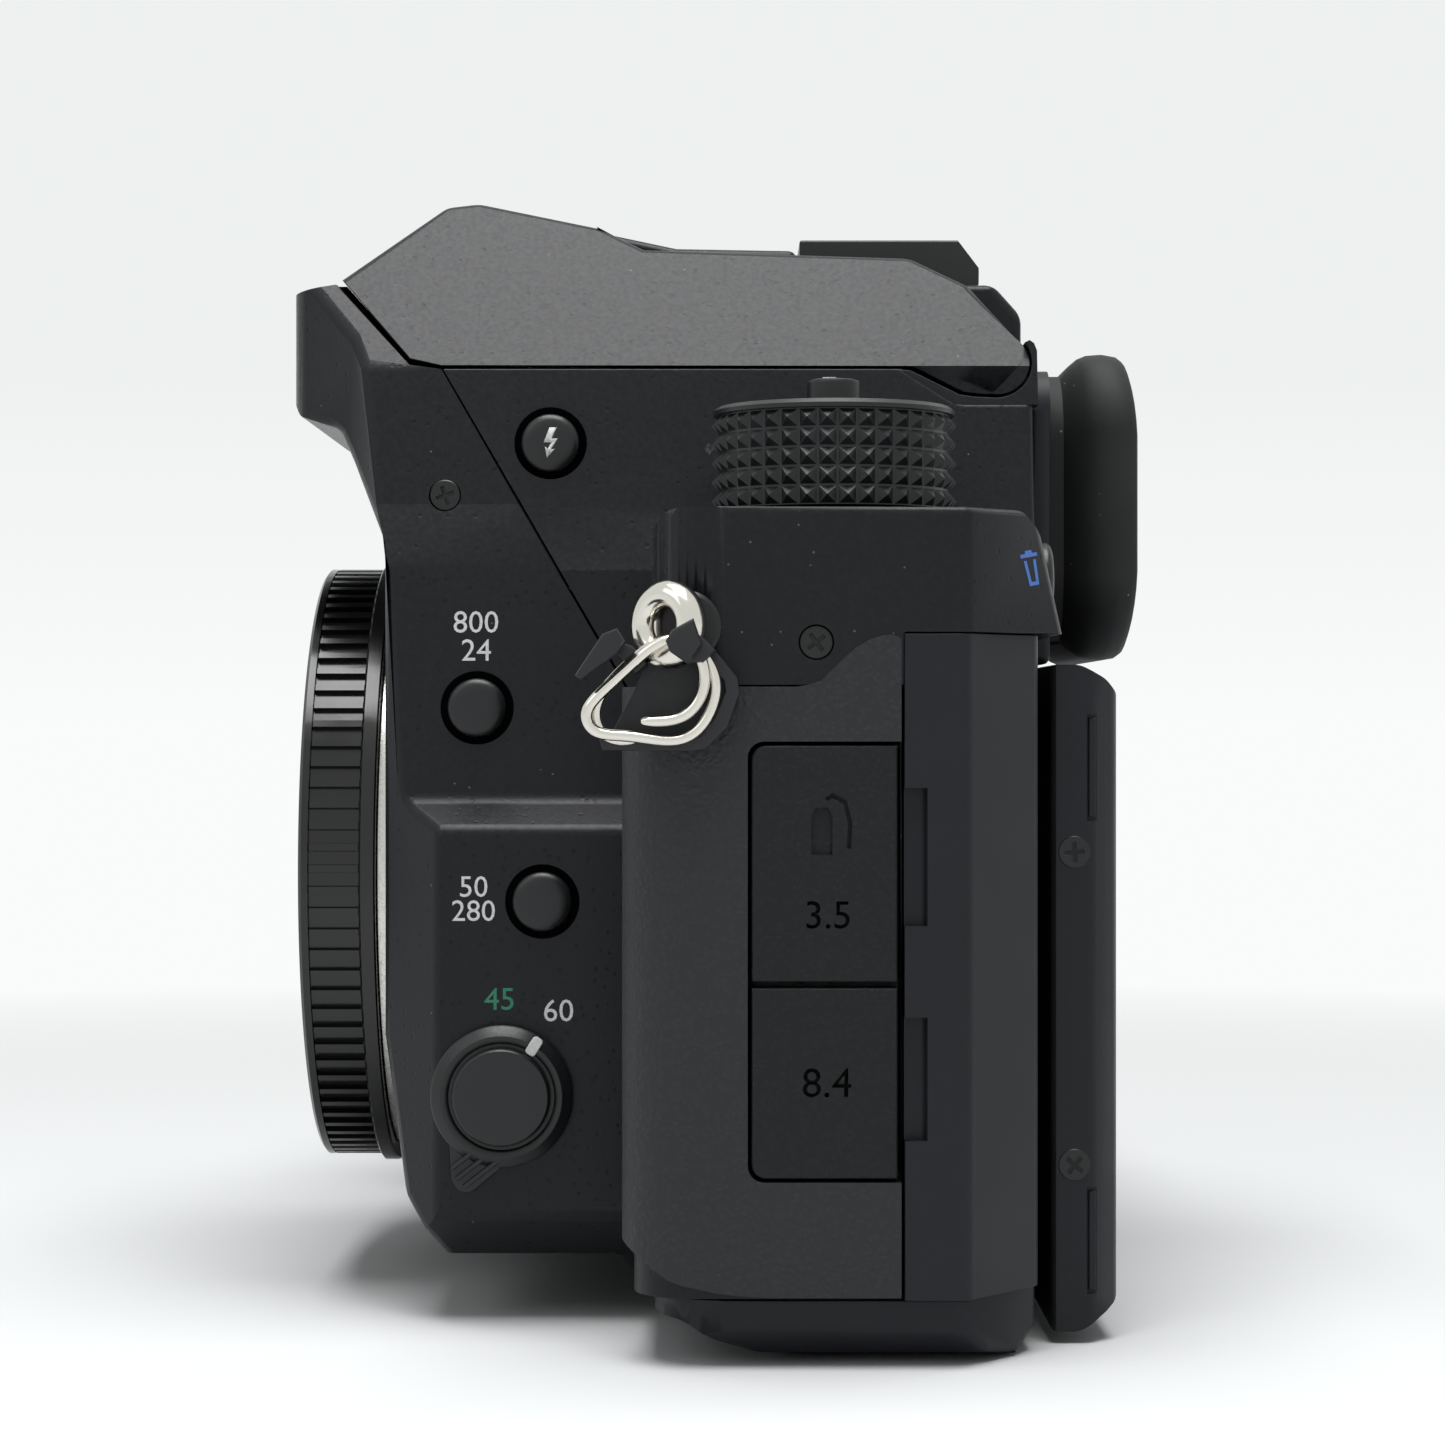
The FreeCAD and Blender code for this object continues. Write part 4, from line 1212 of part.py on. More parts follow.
def make_battery_and_doors():
    piece("battery", slab("battery", "XY_Plane", "battery_low", "battery_top",
          [("battery_right", "battery_front"), ("battery_left", "battery_front"),
           ("battery_left", "battery_rear"), ("battery_right", "battery_rear")],
           {"battery_round": [0, 1, 2, 3]}))
    piece("battery_door", slab("battery_door", "XY_Plane", "door_low", "door_low + door_thick",
          [("door_right", "door_front"), ("door_left", "door_front"), ("door_left", "door_rear"),
           ("door_right", "door_rear")]))
    piece("card_door", slab("card_door", "YZ_Plane", "right_face", "right_face + card_thick",
          [("card_front", "card_low"), ("card_rear", "card_low"), ("card_rear", "card_top"),
           ("card_front", "card_top")]))


make_front_cover()
make_top_cover()
make_rear_cover()
make_bottom_cover()
make_side_skin()
make_hand_grip()
make_mount_and_cap()
make_mirror_box()
make_imaging_parts()
make_flash_cover()
make_flash_window()
make_hot_shoe()
make_eyecup()
make_dials()
make_shutter_release()
make_side_keys()
make_lens_release()
make_ports()
make_strap_gear()
make_small_hardware()
make_monitor()
make_back_keys()
make_battery_and_doors()

doc.recompute()
faults = []
for thing in doc.Objects:
    if "Invalid" in thing.State or "Error" in thing.State:
        faults.append(f"{thing.Name}: {thing.State}")
for thing in nodes:
    if thing.Shape.isNull() or not thing.Shape.isValid():
        faults.append(f"{thing.Label}: shape is not valid")
if faults:
    raise RuntimeError("; ".join(faults))
os.makedirs("parts", exist_ok=True)
for thing in nodes:
    thing.Shape.exportStep(os.path.join("parts", thing.Label + ".step"))
    print(thing.Label, round(thing.Shape.Volume), len(thing.Shape.Solids))
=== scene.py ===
import math

import bmesh
import bpy
from mathutils import Matrix, Vector


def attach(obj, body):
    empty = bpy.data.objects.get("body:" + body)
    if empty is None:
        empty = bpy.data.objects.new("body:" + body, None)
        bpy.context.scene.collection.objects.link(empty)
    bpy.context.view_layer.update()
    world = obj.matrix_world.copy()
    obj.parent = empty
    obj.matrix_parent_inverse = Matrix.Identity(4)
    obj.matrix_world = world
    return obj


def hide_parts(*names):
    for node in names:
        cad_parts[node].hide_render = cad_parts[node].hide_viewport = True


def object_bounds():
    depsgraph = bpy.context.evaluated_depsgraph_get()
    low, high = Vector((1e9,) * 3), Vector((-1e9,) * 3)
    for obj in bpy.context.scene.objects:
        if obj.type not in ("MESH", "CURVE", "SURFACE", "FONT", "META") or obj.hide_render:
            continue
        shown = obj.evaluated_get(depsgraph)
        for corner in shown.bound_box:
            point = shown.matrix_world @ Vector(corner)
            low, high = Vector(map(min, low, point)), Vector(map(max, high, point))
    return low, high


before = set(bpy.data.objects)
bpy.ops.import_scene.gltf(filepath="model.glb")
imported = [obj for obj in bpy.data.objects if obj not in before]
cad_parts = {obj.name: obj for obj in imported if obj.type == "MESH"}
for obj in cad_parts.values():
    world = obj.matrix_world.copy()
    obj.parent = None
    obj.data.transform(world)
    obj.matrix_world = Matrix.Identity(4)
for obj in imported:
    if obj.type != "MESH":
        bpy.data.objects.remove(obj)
boxLow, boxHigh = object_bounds()
mm = 0.001

# Ways a face can look. Columns are right, up and out, as seen from outside that face.
facing = {
    "left": ((0, 0, 1), (1, 0, 0), (0, 1, 0)),
    "front": ((1, 0, 0), (0, 0, -1), (0, 1, 0)),
    "back": ((-1, 0, 0), (0, 0, 1), (0, 1, 0)),
    "top": ((-1, 0, 0), (0, -1, 0), (0, 0, 1)),
    "base": ((1, 0, 0), (0, -1, 0), (0, 0, -1)),
}
facing = {look: Matrix(rows).to_4x4() for look, rows in facing.items()}


def spot(x, y, z):
    return Vector((x, y, z)) * mm


def unpick():
    bpy.ops.object.select_all(action="DESELECT")


def pickAll():
    bpy.ops.mesh.select_all(action="SELECT")


def focusOn(piece):
    unpick()
    piece.select_set(True)
    bpy.context.view_layer.objects.active = piece


def editing(piece):
    focusOn(piece)
    bpy.ops.object.mode_set(mode="EDIT")


def doneEditing():
    bpy.ops.object.mode_set(mode="OBJECT")


def choose(piece, kind, test):
    bpy.ops.mesh.select_mode(type=kind)
    bpy.ops.mesh.select_all(action="DESELECT")
    mesh = bmesh.from_edit_mesh(piece.data)
    parts = {"VERT": mesh.verts, "EDGE": mesh.edges, "FACE": mesh.faces}[kind]
    chosen = [part for part in parts if test(part)]
    for part in chosen:
        part.select_set(True)
    mesh.select_flush_mode()
    bmesh.update_edit_mesh(piece.data)
    return len(chosen)


def modify(piece, kind, **settings):
    focusOn(piece)
    modifier = piece.modifiers.new(kind.lower(), kind)
    for name, value in settings.items():
        setattr(modifier, name, value)
    bpy.ops.object.modifier_apply(modifier=modifier.name)


def weld(near):
    pickAll()
    bpy.ops.mesh.remove_doubles(threshold=near * mm)


def tidyNormals(piece):
    editing(piece)
    weld(near=0.002)
    bpy.ops.mesh.normals_make_consistent(inside=False)
    doneEditing()


def smooth(piece, degrees=35):
    focusOn(piece)
    bpy.ops.object.shade_smooth_by_angle(angle=math.radians(degrees))
    modify(piece, "WEIGHTED_NORMAL", keep_sharp=True)


def flip(piece):
    editing(piece)
    pickAll()
    bpy.ops.mesh.flip_normals()
    doneEditing()


def newest(name):
    piece = bpy.context.active_object
    piece.name = name
    return piece


def settle(piece):
    focusOn(piece)
    bpy.ops.object.transform_apply(location=True, rotation=True, scale=True)


def putAt(piece, look, x=0, y=0, z=0, turn=0):
    # local right, up and out are laid along those of the face, with the origin at x, y, z
    way = facing[look] @ Matrix.Rotation(math.radians(turn), 4, "Z")
    piece.matrix_world = Matrix.Translation(spot(x, y, z)) @ way
    settle(piece)


def finishPiece(piece, body, slot, *stands, finish=None):
    piece.data.materials.clear()
    piece.data.materials.append(finish or finishes[slot])
    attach(piece, body)
    if stands:
        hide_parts(*stands)


def finishKey(piece, source):
    finishPiece(piece, source, "key_plastic", source)


# gives a piece the near-black finish of painted shade
def paintShade(piece, body):
    finishPiece(piece, body, "inner_plastic", finish=inks["shade"])


def ringOf(count, turn=0):
    return [(math.cos(math.tau * (k + turn) / count), math.sin(math.tau * (k + turn) / count))
            for k in range(count)]


def arc(x, y, r, first, last, steps):
    # points round x, y from the first angle to the last, in degrees
    angles = [math.radians(first + (last - first) * k / steps) for k in range(steps + 1)]
    return [(x + r * math.cos(angle), y + r * math.sin(angle)) for angle in angles]


def oblong(left, low, right, high):
    return [(left, low), (right, low), (right, high), (left, high)]


def boxOutline(half, tall, corner, steps):
    # rounded rectangle round the origin, anticlockwise
    points = []
    for k, (x, y) in enumerate(((1, 1), (-1, 1), (-1, -1), (1, -1))):
        points += arc(x * (half - corner), y * (tall - corner), corner, 90 * k, 90 * k + 90, steps)
    return points


def laid(name, outline, rise=0, closed=False):
    unpick()
    bpy.ops.mesh.primitive_circle_add(vertices=len(outline), radius=mm,
                                      fill_type="NOTHING" if closed else "NGON")
    piece = newest(name)
    for vert, (u, v) in zip(piece.data.vertices, outline):
        vert.co = spot(u, v, rise)
    return piece


def drawn(name, outline, steps, closed=False):
    # an outline drawn up step by step: (rise, wide) or (rise, wide, tall) for each step
    steps = [step if len(step) == 3 else (*step, step[1]) for step in steps]
    rise, wide, tall = steps[0]
    piece = laid(name, [(u * wide, v * tall) for u, v in outline], rise, closed)
    editing(piece)
    bpy.ops.mesh.select_mode(type="VERT")
    pickAll()
    for step in steps[1:]:
        bpy.ops.mesh.extrude_region_move(TRANSFORM_OT_translate={"value": spot(0, 0, step[0] - rise)})
        bpy.ops.transform.resize(value=(step[1] / wide, step[2] / tall, 1),
                                 center_override=spot(0, 0, step[0]))
        rise, wide, tall = step
    doneEditing()
    tidyNormals(piece)
    return piece


def turned(name, rings, look, place, sides):
    piece = drawn(name, ringOf(sides), rings)
    smooth(piece)
    putAt(piece, look, *place)
    return piece


def makeKey(source, name, look, seat, rings, sides=48):
    finishKey(turned(name, rings, look, seat, sides), source)


def plate(name, outline, low, high, soft=0, corner=0, steps=2):
    # a flat outline given its thickness, with rounded corners and softened upper edges
    piece = drawn(name, outline, [(low, 1), (high, 1)])
    half = mm * (high - low) / 2
    editing(piece)
    if corner:
        choose(piece, "EDGE", lambda edge: abs(edge.verts[0].co.z - edge.verts[1].co.z) > half)
        bpy.ops.mesh.bevel(offset=corner * mm, segments=4, affect="EDGES")
    if soft:
        choose(piece, "EDGE", lambda edge: min(v.co.z for v in edge.verts) > mm * (high - 0.001))
        bpy.ops.mesh.bevel(offset=soft * mm, segments=steps, affect="EDGES")
    doneEditing()
    tidyNormals(piece)
    smooth(piece)
    return piece


def sidePlate(name, *shape, **softness):
    # the same in the left face's own place: right is +Y, up is +Z and rise is X
    piece = plate(name, *shape, **softness)
    putAt(piece, "left")
    return piece


def copyOf(piece, name):
    other = bpy.data.objects.new(name, piece.data.copy())
    bpy.context.scene.collection.objects.link(other)
    return other


def mirrored(piece, middle=0):
    # a left piece's twin across the plane at X = middle, still inside out
    twin = copyOf(piece, piece.name.replace("left", "right"))
    for vert in twin.data.vertices:
        vert.co.x = 2 * middle * mm - vert.co.x
    return twin


def joined(name, *parts):
    unpick()
    for part in parts:
        part.select_set(True)
    bpy.context.view_layer.objects.active = parts[0]
    bpy.ops.object.join()
    parts[0].name = name
    return parts[0]


def carved(piece, *cutters):
    for cutter in cutters:
        modify(piece, "BOOLEAN", operation="DIFFERENCE", object=cutter, solver="EXACT")
        bpy.data.objects.remove(cutter)
    smooth(piece)


def turnOf(face, low, high, inner):
    # where a face stands round an upright side, in turns, or None for faces off that side
    middle = face.calc_center_median() / mm
    if abs(face.normal.z) < 0.2 and low < middle.z < high and math.hypot(*middle.xy) > inner:
        return math.atan2(middle.y, middle.x) / math.tau
    return None


def ribs(piece, test, margin, depth):
    editing(piece)
    choose(piece, "FACE", test)
    bpy.ops.mesh.inset(thickness=margin * mm, depth=depth * mm, use_individual=True)
    doneEditing()


def numeral(name, words, size, thick=0):
    unpick()
    bpy.ops.object.text_add()
    piece = newest(name)
    piece.data.body = words
    piece.data.size = size * mm
    piece.data.align_x = "CENTER"
    piece.data.align_y = "CENTER"
    piece.data.extrude = thick * mm / 2
    piece.data.resolution_u = 3
    bpy.ops.object.convert(target="MESH")
    return piece


def printed(piece, look, place, target, body, slot, ink, turn=0):
    # an ink mark laid on the surface under it
    film = {"lift": 0.015, "thick": 0.02}
    putAt(piece, look, *place, turn)
    out = facing[look].col[2]
    axis = "xyz"[max(range(3), key=lambda k: abs(out[k]))]
    modify(piece, "SHRINKWRAP", target=target, wrap_method="PROJECT", use_project_x=axis == "x",
           use_project_y=axis == "y", use_project_z=axis == "z", use_negative_direction=True,
           use_positive_direction=True, offset=film["lift"] * mm)
    modify(piece, "SOLIDIFY", thickness=film["thick"] * mm, offset=0)
    finishPiece(piece, body, slot, finish=inks[ink])


# Finishes

def tone(code):
    parts = [int(code[k:k + 2], 16) / 255 for k in (1, 3, 5)]
    return tuple(c / 12.92 if c <= 0.04045 else ((c + 0.055) / 1.055) ** 2.4 for c in parts) + (1,)


def node(tree, kind, sets=None, values=None, links=None):
    made = tree.nodes.new("ShaderNode" + kind)
    for name, value in (sets or {}).items():
        setattr(made, name, value)
    for name, value in (values or {}).items():
        made.inputs[name].default_value = value
    for name, source in (links or {}).items():
        tree.links.new(source, made.inputs[name])
    return made


def newFinish(name, colour=None, level=None, **values):
    finish = bpy.data.materials.new(name)
    finish.use_nodes = True
    tree = finish.node_tree
    tree.nodes.clear()
    if colour:
        values["Base Color"] = tone(colour)
    if level is not None:
        values["Specular IOR Level"] = level
    surface = node(tree, "BsdfPrincipled", values=values)
    node(tree, "OutputMaterial", links={"Surface": surface.outputs[0]})
    where = node(tree, "TexCoord").outputs["Object"]
    return finish, tree, surface, where


def feed(surface, socket, source):
    surface.id_data.links.new(source, surface.inputs[socket])


def reckon(tree, operation, *terms):
    made = node(tree, "Math", {"operation": operation})
    for k, term in enumerate(terms):
        if isinstance(term, float):
            made.inputs[k].default_value = term
        else:
            tree.links.new(term, made.inputs[k])
    return made.outputs[0]


def seenStraight(tree):
    # true for rays from the camera, also by way of gloss or glass
    path = node(tree, "LightPath").outputs
    seen = reckon(tree, "MAXIMUM", path["Is Camera Ray"], path["Is Glossy Ray"])
    return reckon(tree, "MAXIMUM", seen, path["Is Transmission Ray"])


def perMetre(size):
    return 1 / (size * mm)          # pattern scale that gives a feature of this many millimetres


def pattern(tree, kind, where, size, sets=None, **values):
    return node(tree, kind, sets, {"Scale": perMetre(size), **values}, {"Vector": where})


def grainOf(tree, where, size, detail=2):
    return pattern(tree, "TexNoise", where, size, Detail=detail).outputs[0]


def spread(tree, source, low, high, fromLow=0.3, fromHigh=0.7):
    return node(tree, "MapRange",
                values={"From Min": fromLow, "From Max": fromHigh, "To Min": low, "To Max": high},
                links={"Value": source}).outputs[0]


def scattered(tree, where, size, share, part):
    # small separate flecks: a share of the cells of a cell pattern holds one, part of a cell wide
    cells = pattern(tree, "TexVoronoi", where, size)
    picked = node(tree, "SeparateColor", links={"Color": cells.outputs["Color"]})
    isPicked = reckon(tree, "LESS_THAN", picked.outputs[0], share)
    near = spread(tree, cells.outputs["Distance"], 1, 0, part * 0.6, part)
    return reckon(tree, "MULTIPLY", isPicked, near)


def tinted(tree, base, other, amount):
    mix = node(tree, "Mix", {"data_type": "RGBA"}, links={"Factor": amount})
    for socket, colour in ((6, base), (7, other)):
        if isinstance(colour, str):
            mix.inputs[socket].default_value = tone(colour)
        else:
            tree.links.new(colour, mix.inputs[socket])
    return mix.outputs[2]


def bumped(tree, surface, height, strength, depth):
    bump = node(tree, "Bump", values={"Strength": strength, "Distance": depth * mm},
                links={"Height": height})
    feed(surface, "Normal", bump.outputs[0])


def blackSprayPaint():
    # Magnesium shell, sprayed: droplets leave a fine speckle, small dark pits and a few pale grains
    paint = {"body": "#121317", "wet": "#191a1e", "pit": "#08080a", "grain": "#5a5d61", "drop": 0.45,
             "pits": (0.9, 0.35, 0.26), "grains": (1.1, 0.07, 0.1), "dull": (0.3, 0.42),
             "relief": (0.4, 0.04)}
    finish, tree, surface, where = newFinish("blackSprayPaint", level=0.22, IOR=1.5)
    drops = grainOf(tree, where, paint["drop"], 3)
    pits = scattered(tree, where, *paint["pits"])
    grains = scattered(tree, where, *paint["grains"])
    body = tinted(tree, paint["body"], paint["wet"], spread(tree, drops, 0, 1))
    body = tinted(tree, body, paint["pit"], pits)
    feed(surface, "Base Color", tinted(tree, body, paint["grain"], grains))
    feed(surface, "Roughness", spread(tree, drops, *paint["dull"]))
    bumped(tree, surface, reckon(tree, "SUBTRACT", drops, pits), *paint["relief"])
    return finish


def blackMouldedShell():
    # Glass-filled polycarbonate with a fine spark-eroded texture: even, dull and a little grey
    shell = {"body": "#1a1b1f", "worn": "#1e1f24", "grain": 0.3, "patch": 9, "dull": (0.4, 0.5),
             "relief": (0.22, 0.03)}
    finish, tree, surface, where = newFinish("blackMouldedShell", level=0.22, IOR=1.52)
    patch = grainOf(tree, where, shell["patch"])
    fine = grainOf(tree, where, shell["grain"])
    feed(surface, "Base Color", tinted(tree, shell["body"], shell["worn"], spread(tree, patch, 0, 1)))
    feed(surface, "Roughness", spread(tree, patch, *shell["dull"]))
    bumped(tree, surface, fine, *shell["relief"])
    return finish


def leatherGrainRubber(name, body, crease, level):
    # Moulded elastomer with a leather grain: shallow creases round pebbles of about half a millimetre
    skin = {"pebble": 0.55, "wrinkle": 2.2, "bend": 1.6, "edge": (0.15, 0.6), "relief": (0.7, 0.07)}
    finish, tree, surface, where = newFinish(name, level=level, Roughness=0.54, IOR=1.5)
    bend = pattern(tree, "TexNoise", where, skin["wrinkle"], Detail=2)
    shift = node(tree, "VectorMath", {"operation": "SCALE"}, {"Scale": skin["bend"] * mm},
                 {0: bend.outputs["Color"]})
    bent = node(tree, "VectorMath", {"operation": "ADD"}, links={0: where, 1: shift.outputs[0]})
    cells = pattern(tree, "TexVoronoi", bent.outputs[0], skin["pebble"], {"feature": "SMOOTH_F1"},
                    Smoothness=0.4)
    raised = spread(tree, cells.outputs["Distance"], 1, 0, *skin["edge"])
    # the creases take the darker colour: painted shade between the pebbles
    feed(surface, "Base Color", tinted(tree, crease, body, raised))
    bumped(tree, surface, raised, *skin["relief"])
    return finish


def glossyCapPlastic():
    # Injection-moulded ABS from a polished tool: deep black, sharp highlights and hair scratches
    cap = {"body": "#0b0b0c", "haze": 6, "scratch": 0.35, "gloss": (0.12, 0.26), "relief": (0.08, 0.02)}
    finish, tree, surface, where = newFinish("glossyCapPlastic", cap["body"], IOR=1.5)
    feed(surface, "Roughness", spread(tree, grainOf(tree, where, cap["haze"], 4), *cap["gloss"]))
    bumped(tree, surface, grainOf(tree, where, cap["scratch"]), *cap["relief"])
    return finish


def dustyCupRubber():
    # Moulded silicone rubber: soft and dull, with the pale dust that its surface holds
    cup = {"body": "#1d1e1f", "haze": "#2b2b2b", "dust": "#6b6a68", "specks": (1, 0.12, 0.13), "cloud": 7,
           "fine": 0.35, "relief": (0.2, 0.03)}
    finish, tree, surface, where = newFinish("dustyCupRubber", level=0.4, Roughness=0.66, IOR=1.42)
    cloud = spread(tree, grainOf(tree, where, cup["cloud"], 4), 0, 0.6, 0.45, 0.8)
    base = tinted(tree, cup["body"], cup["haze"], cloud)
    feed(surface, "Base Color", tinted(tree, base, cup["dust"], scattered(tree, where, *cup["specks"])))
    bumped(tree, surface, grainOf(tree, where, cup["fine"]), *cup["relief"])
    return finish


def plainMoulding(name, body, roughness, grain=0.35, depth=0.02, level=0.4):
    # Moulded or coated small part: one colour with a faint grain and slight unevenness of gloss
    finish, tree, surface, where = newFinish(name, body, level, IOR=1.5)
    fine = grainOf(tree, where, grain)
    feed(surface, "Roughness", spread(tree, fine, roughness - 0.04, roughness + 0.06))
    bumped(tree, surface, fine, 0.15, depth)
    return finish


def metal(name, body, roughness, grain):
    # Plated or turned metal: bright, with the waves or lines that its making left
    finish, tree, surface, where = newFinish(name, body, Metallic=1)
    lines = grainOf(tree, where, grain, 3)
    feed(surface, "Roughness", spread(tree, lines, roughness * 0.7, roughness * 1.4))
    bumped(tree, surface, lines, 0.1, 0.01)
    return finish


def glass(name, body, roughness, through, **more):
    # Polished glass or clear plastic: a faint tint and a trace of unevenness in the polish
    finish, tree, surface, where = newFinish(name, body, IOR=1.52, **{"Transmission Weight": through, **more})
    waves = grainOf(tree, where, 12)
    feed(surface, "Roughness", spread(tree, waves, roughness, roughness + 0.03))
    return finish


def printInk(name, body):
    # Pad-printed ink: opaque and matt, a little uneven where the pad pressed on the texture
    finish, tree, surface, where = newFinish(name, level=0.3, Roughness=0.6, IOR=1.45)
    worn = spread(tree, grainOf(tree, where, 0.25), 0, 0.25)
    feed(surface, "Base Color", tinted(tree, body, "#8c8e90", worn))
    return finish


finishes = {
    "casing_paint": blackSprayPaint(),
    "casing_matte": blackMouldedShell(),
    # the second colour is the painted shade in the grain's creases
    "grain_rubber": leatherGrainRubber("leatherGrainRubber", "#242528", "#1e1f22", 0.38),
    "cap_gloss": glossyCapPlastic(),
    "cup_rubber": dustyCupRubber(),
    "key_plastic": plainMoulding("satinKeyPlastic", "#17181a", 0.34),
    "bare_steel": metal("nickelPlatedWire", "#dcd8d0", 0.14, 2.5),
    "black_steel": plainMoulding("blackCoatedSteel", "#151617", 0.36),
    "mount_metal": metal("turnedStainlessRing", "#cfcdc8", 0.24, 0.3),
    "brass_insert": metal("machinedBrass", "#c9a968", 0.25, 0.4),
    "clear_glass": glass("polishedPrismGlass", "#e9f1f2", 0, 1),
    "dark_glass": glass("darkDisplayGlass", "#050608", 0.04, 0, **{"Coat Weight": 1,
                                                                     "Coat Roughness": 0.02}),
    "lamp_window": glass("ribbedClearAcrylic", "#e6ebea", 0.08, 0.9),
    "mirror_glass": metal("silveredMirror", "#e8eaec", 0.03, 5),
    "sensor_glass": glass("coatedFilterGlass", "#16303a", 0.03, 0.2),
    "board": plainMoulding("solderMaskBoard", "#1c4a30", 0.35, grain=1.2),
    "inner_plastic": plainMoulding("flockedBlackPlastic", "#141415", 0.8, grain=0.5, depth=0.06, level=0.2),
    "cell": plainMoulding("greyBatteryCase", "#3c3d40", 0.45),
    "guard_plastic": plainMoulding("softNylonGuard", "#1f2023", 0.45, grain=0.5, depth=0.03),
}
inks = {
    "white": printInk("whitePadPrint", "#dcdddc"),
    "green": printInk("greenPadPrint", "#1d7f60"),
    "blue": printInk("bluePadPrint", "#4d7fd6"),
    "black": printInk("blackPadPrint", "#0a0a0b"),
    # painted shade: near-black and barely reflecting, for sheets and rings put where there is only shade
    "shade": plainMoulding("unlitWellBlack", "#020203", 0.9, level=0.02),
}
print("finishes made")


# Casing shells: merged copies of the CAD shells with the small radii of moulded parts

seamLines = [
    # front to top cover, then the gap under the flash cover
    [(-25.3, 84.3), (-10.8, 59.5), (-8.5, 55.4)],
    [(-35.2, 92.9), (-28.2, 84.8), (17, 84.6), (21.5, 82.3), (24.2, 82), (27, 86.8)],
]


def nearLine(point, line, reach=0.5):
    place = Vector((point.y, point.z))
    for (ay, az), (by, bz) in zip(line, line[1:]):
        start = Vector((ay, az))
        run = Vector((by, bz)) - start
        along = min(1, max(0, (place - start).dot(run) / run.length_squared))
        if (place - start - run * along).length < reach:
            return True
    return False


def isSeam(edge):
    ends = [vert.co / mm for vert in edge.verts]
    level = any(all(abs(end.z - height) < 0.45 for end in ends) for height in (5.6, 55.5, 59.8))
    upright = all(abs(end.y - 14.65) < 0.35 for end in ends)
    slot = all(end.x > 45.4 and 30.7 < end.y < 31.8 for end in ends)
    lobe = all(abs(end.x) > 27 and end.y > 16.5 and end.z > 82 for end in ends)
    gap = any(all(nearLine(end, line) for end in ends) for line in seamLines)
    return level or upright or slot or lobe or gap


def softened(piece, wide):
    # long outer edges get the wide radius, seam edges the fine one
    edges = {"fine": 0.1, "shortest": 3, "sharp": 18, "seamSharp": 48}
    for radius, seam, segments, sharp in ((wide, False, 3, edges["sharp"]),
                                          (edges["fine"], True, 1, edges["seamSharp"])):
        editing(piece)
        found = choose(piece, "EDGE", lambda edge: len(edge.link_faces) == 2
                       and edge.calc_length() > edges["shortest"] * mm and isSeam(edge) == seam
                       and edge.calc_face_angle(0) > math.radians(sharp))
        if found:
            bpy.ops.mesh.bevel(offset=radius * mm, segments=segments, profile=0.5, affect="EDGES",
                               clamp_overlap=False, miter_outer="ARC")
        doneEditing()
    smooth(piece)


def cutRightLedge(piece):
    # a sloped strip off the nose's right side, level with the ledge over the lower keys on the left
    profile = [(33.22, 45.5), (34.95, 43.2), (35.6, 42.4), (36.15, 41.6), (36.6, 40.8), (36.88, 40.1),
               (37, 39.5), (38.5, 39.5), (38.5, 47), (33.22, 47)]
    cutter = plate("ledgeCut", [(-x, z) for x, z in profile], 6.9, 32)
    putAt(cutter, "front")
    carved(piece, cutter)


def mergedCopy(name, source):
    flat = 1.5                                          # degrees between faces that are taken as one
    piece = copyOf(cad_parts[source], name)
    editing(piece)
    weld(near=0.003)
    bpy.ops.mesh.dissolve_limited(angle_limit=math.radians(flat))
    doneEditing()
    return piece


shells = {
    "front_cover": ("frontShell", "casing", "casing_paint", 0.7),
    "top_cover": ("topShell", "casing", "casing_paint", 0.7),
    "rear_cover": ("rearShell", "casing", "casing_matte", 0.7),
    "bottom_cover": ("baseShell", "casing", "casing_matte", 0.6),
    "flash_cover": ("flashHood", "flash", "casing_paint", 0.6),
    "hand_grip": ("gripSkin", "casing", "grain_rubber", 1.6),
    "monitor_housing": ("monitorCase", "monitor", "casing_matte", 0.5),
    "hot_shoe": ("shoeRails", "casing", "black_steel", 0.25),
    "shoe_cover": ("shoeSlide", "shoe_cover", "key_plastic", 0.3),
    "monitor_glass": ("displayPane", "monitor", "dark_glass", 0.25),
    "battery_door": ("batteryLid", "battery_door", "casing_matte", 0.25),
    "card_door": ("cardLid", "card_door", "casing_matte", 0.25),
    "monitor_arm": ("monitorLink", "monitor_arm", "black_steel", 0.2),
}
cases = {}
for source, (name, body, slot, wide) in shells.items():
    cases[source] = mergedCopy(name, source)
    if source == "front_cover":
        cutRightLedge(cases[source])
    softened(cases[source], wide)
    finishPiece(cases[source], body, slot, source)
print("shells dressed")


# Body cap

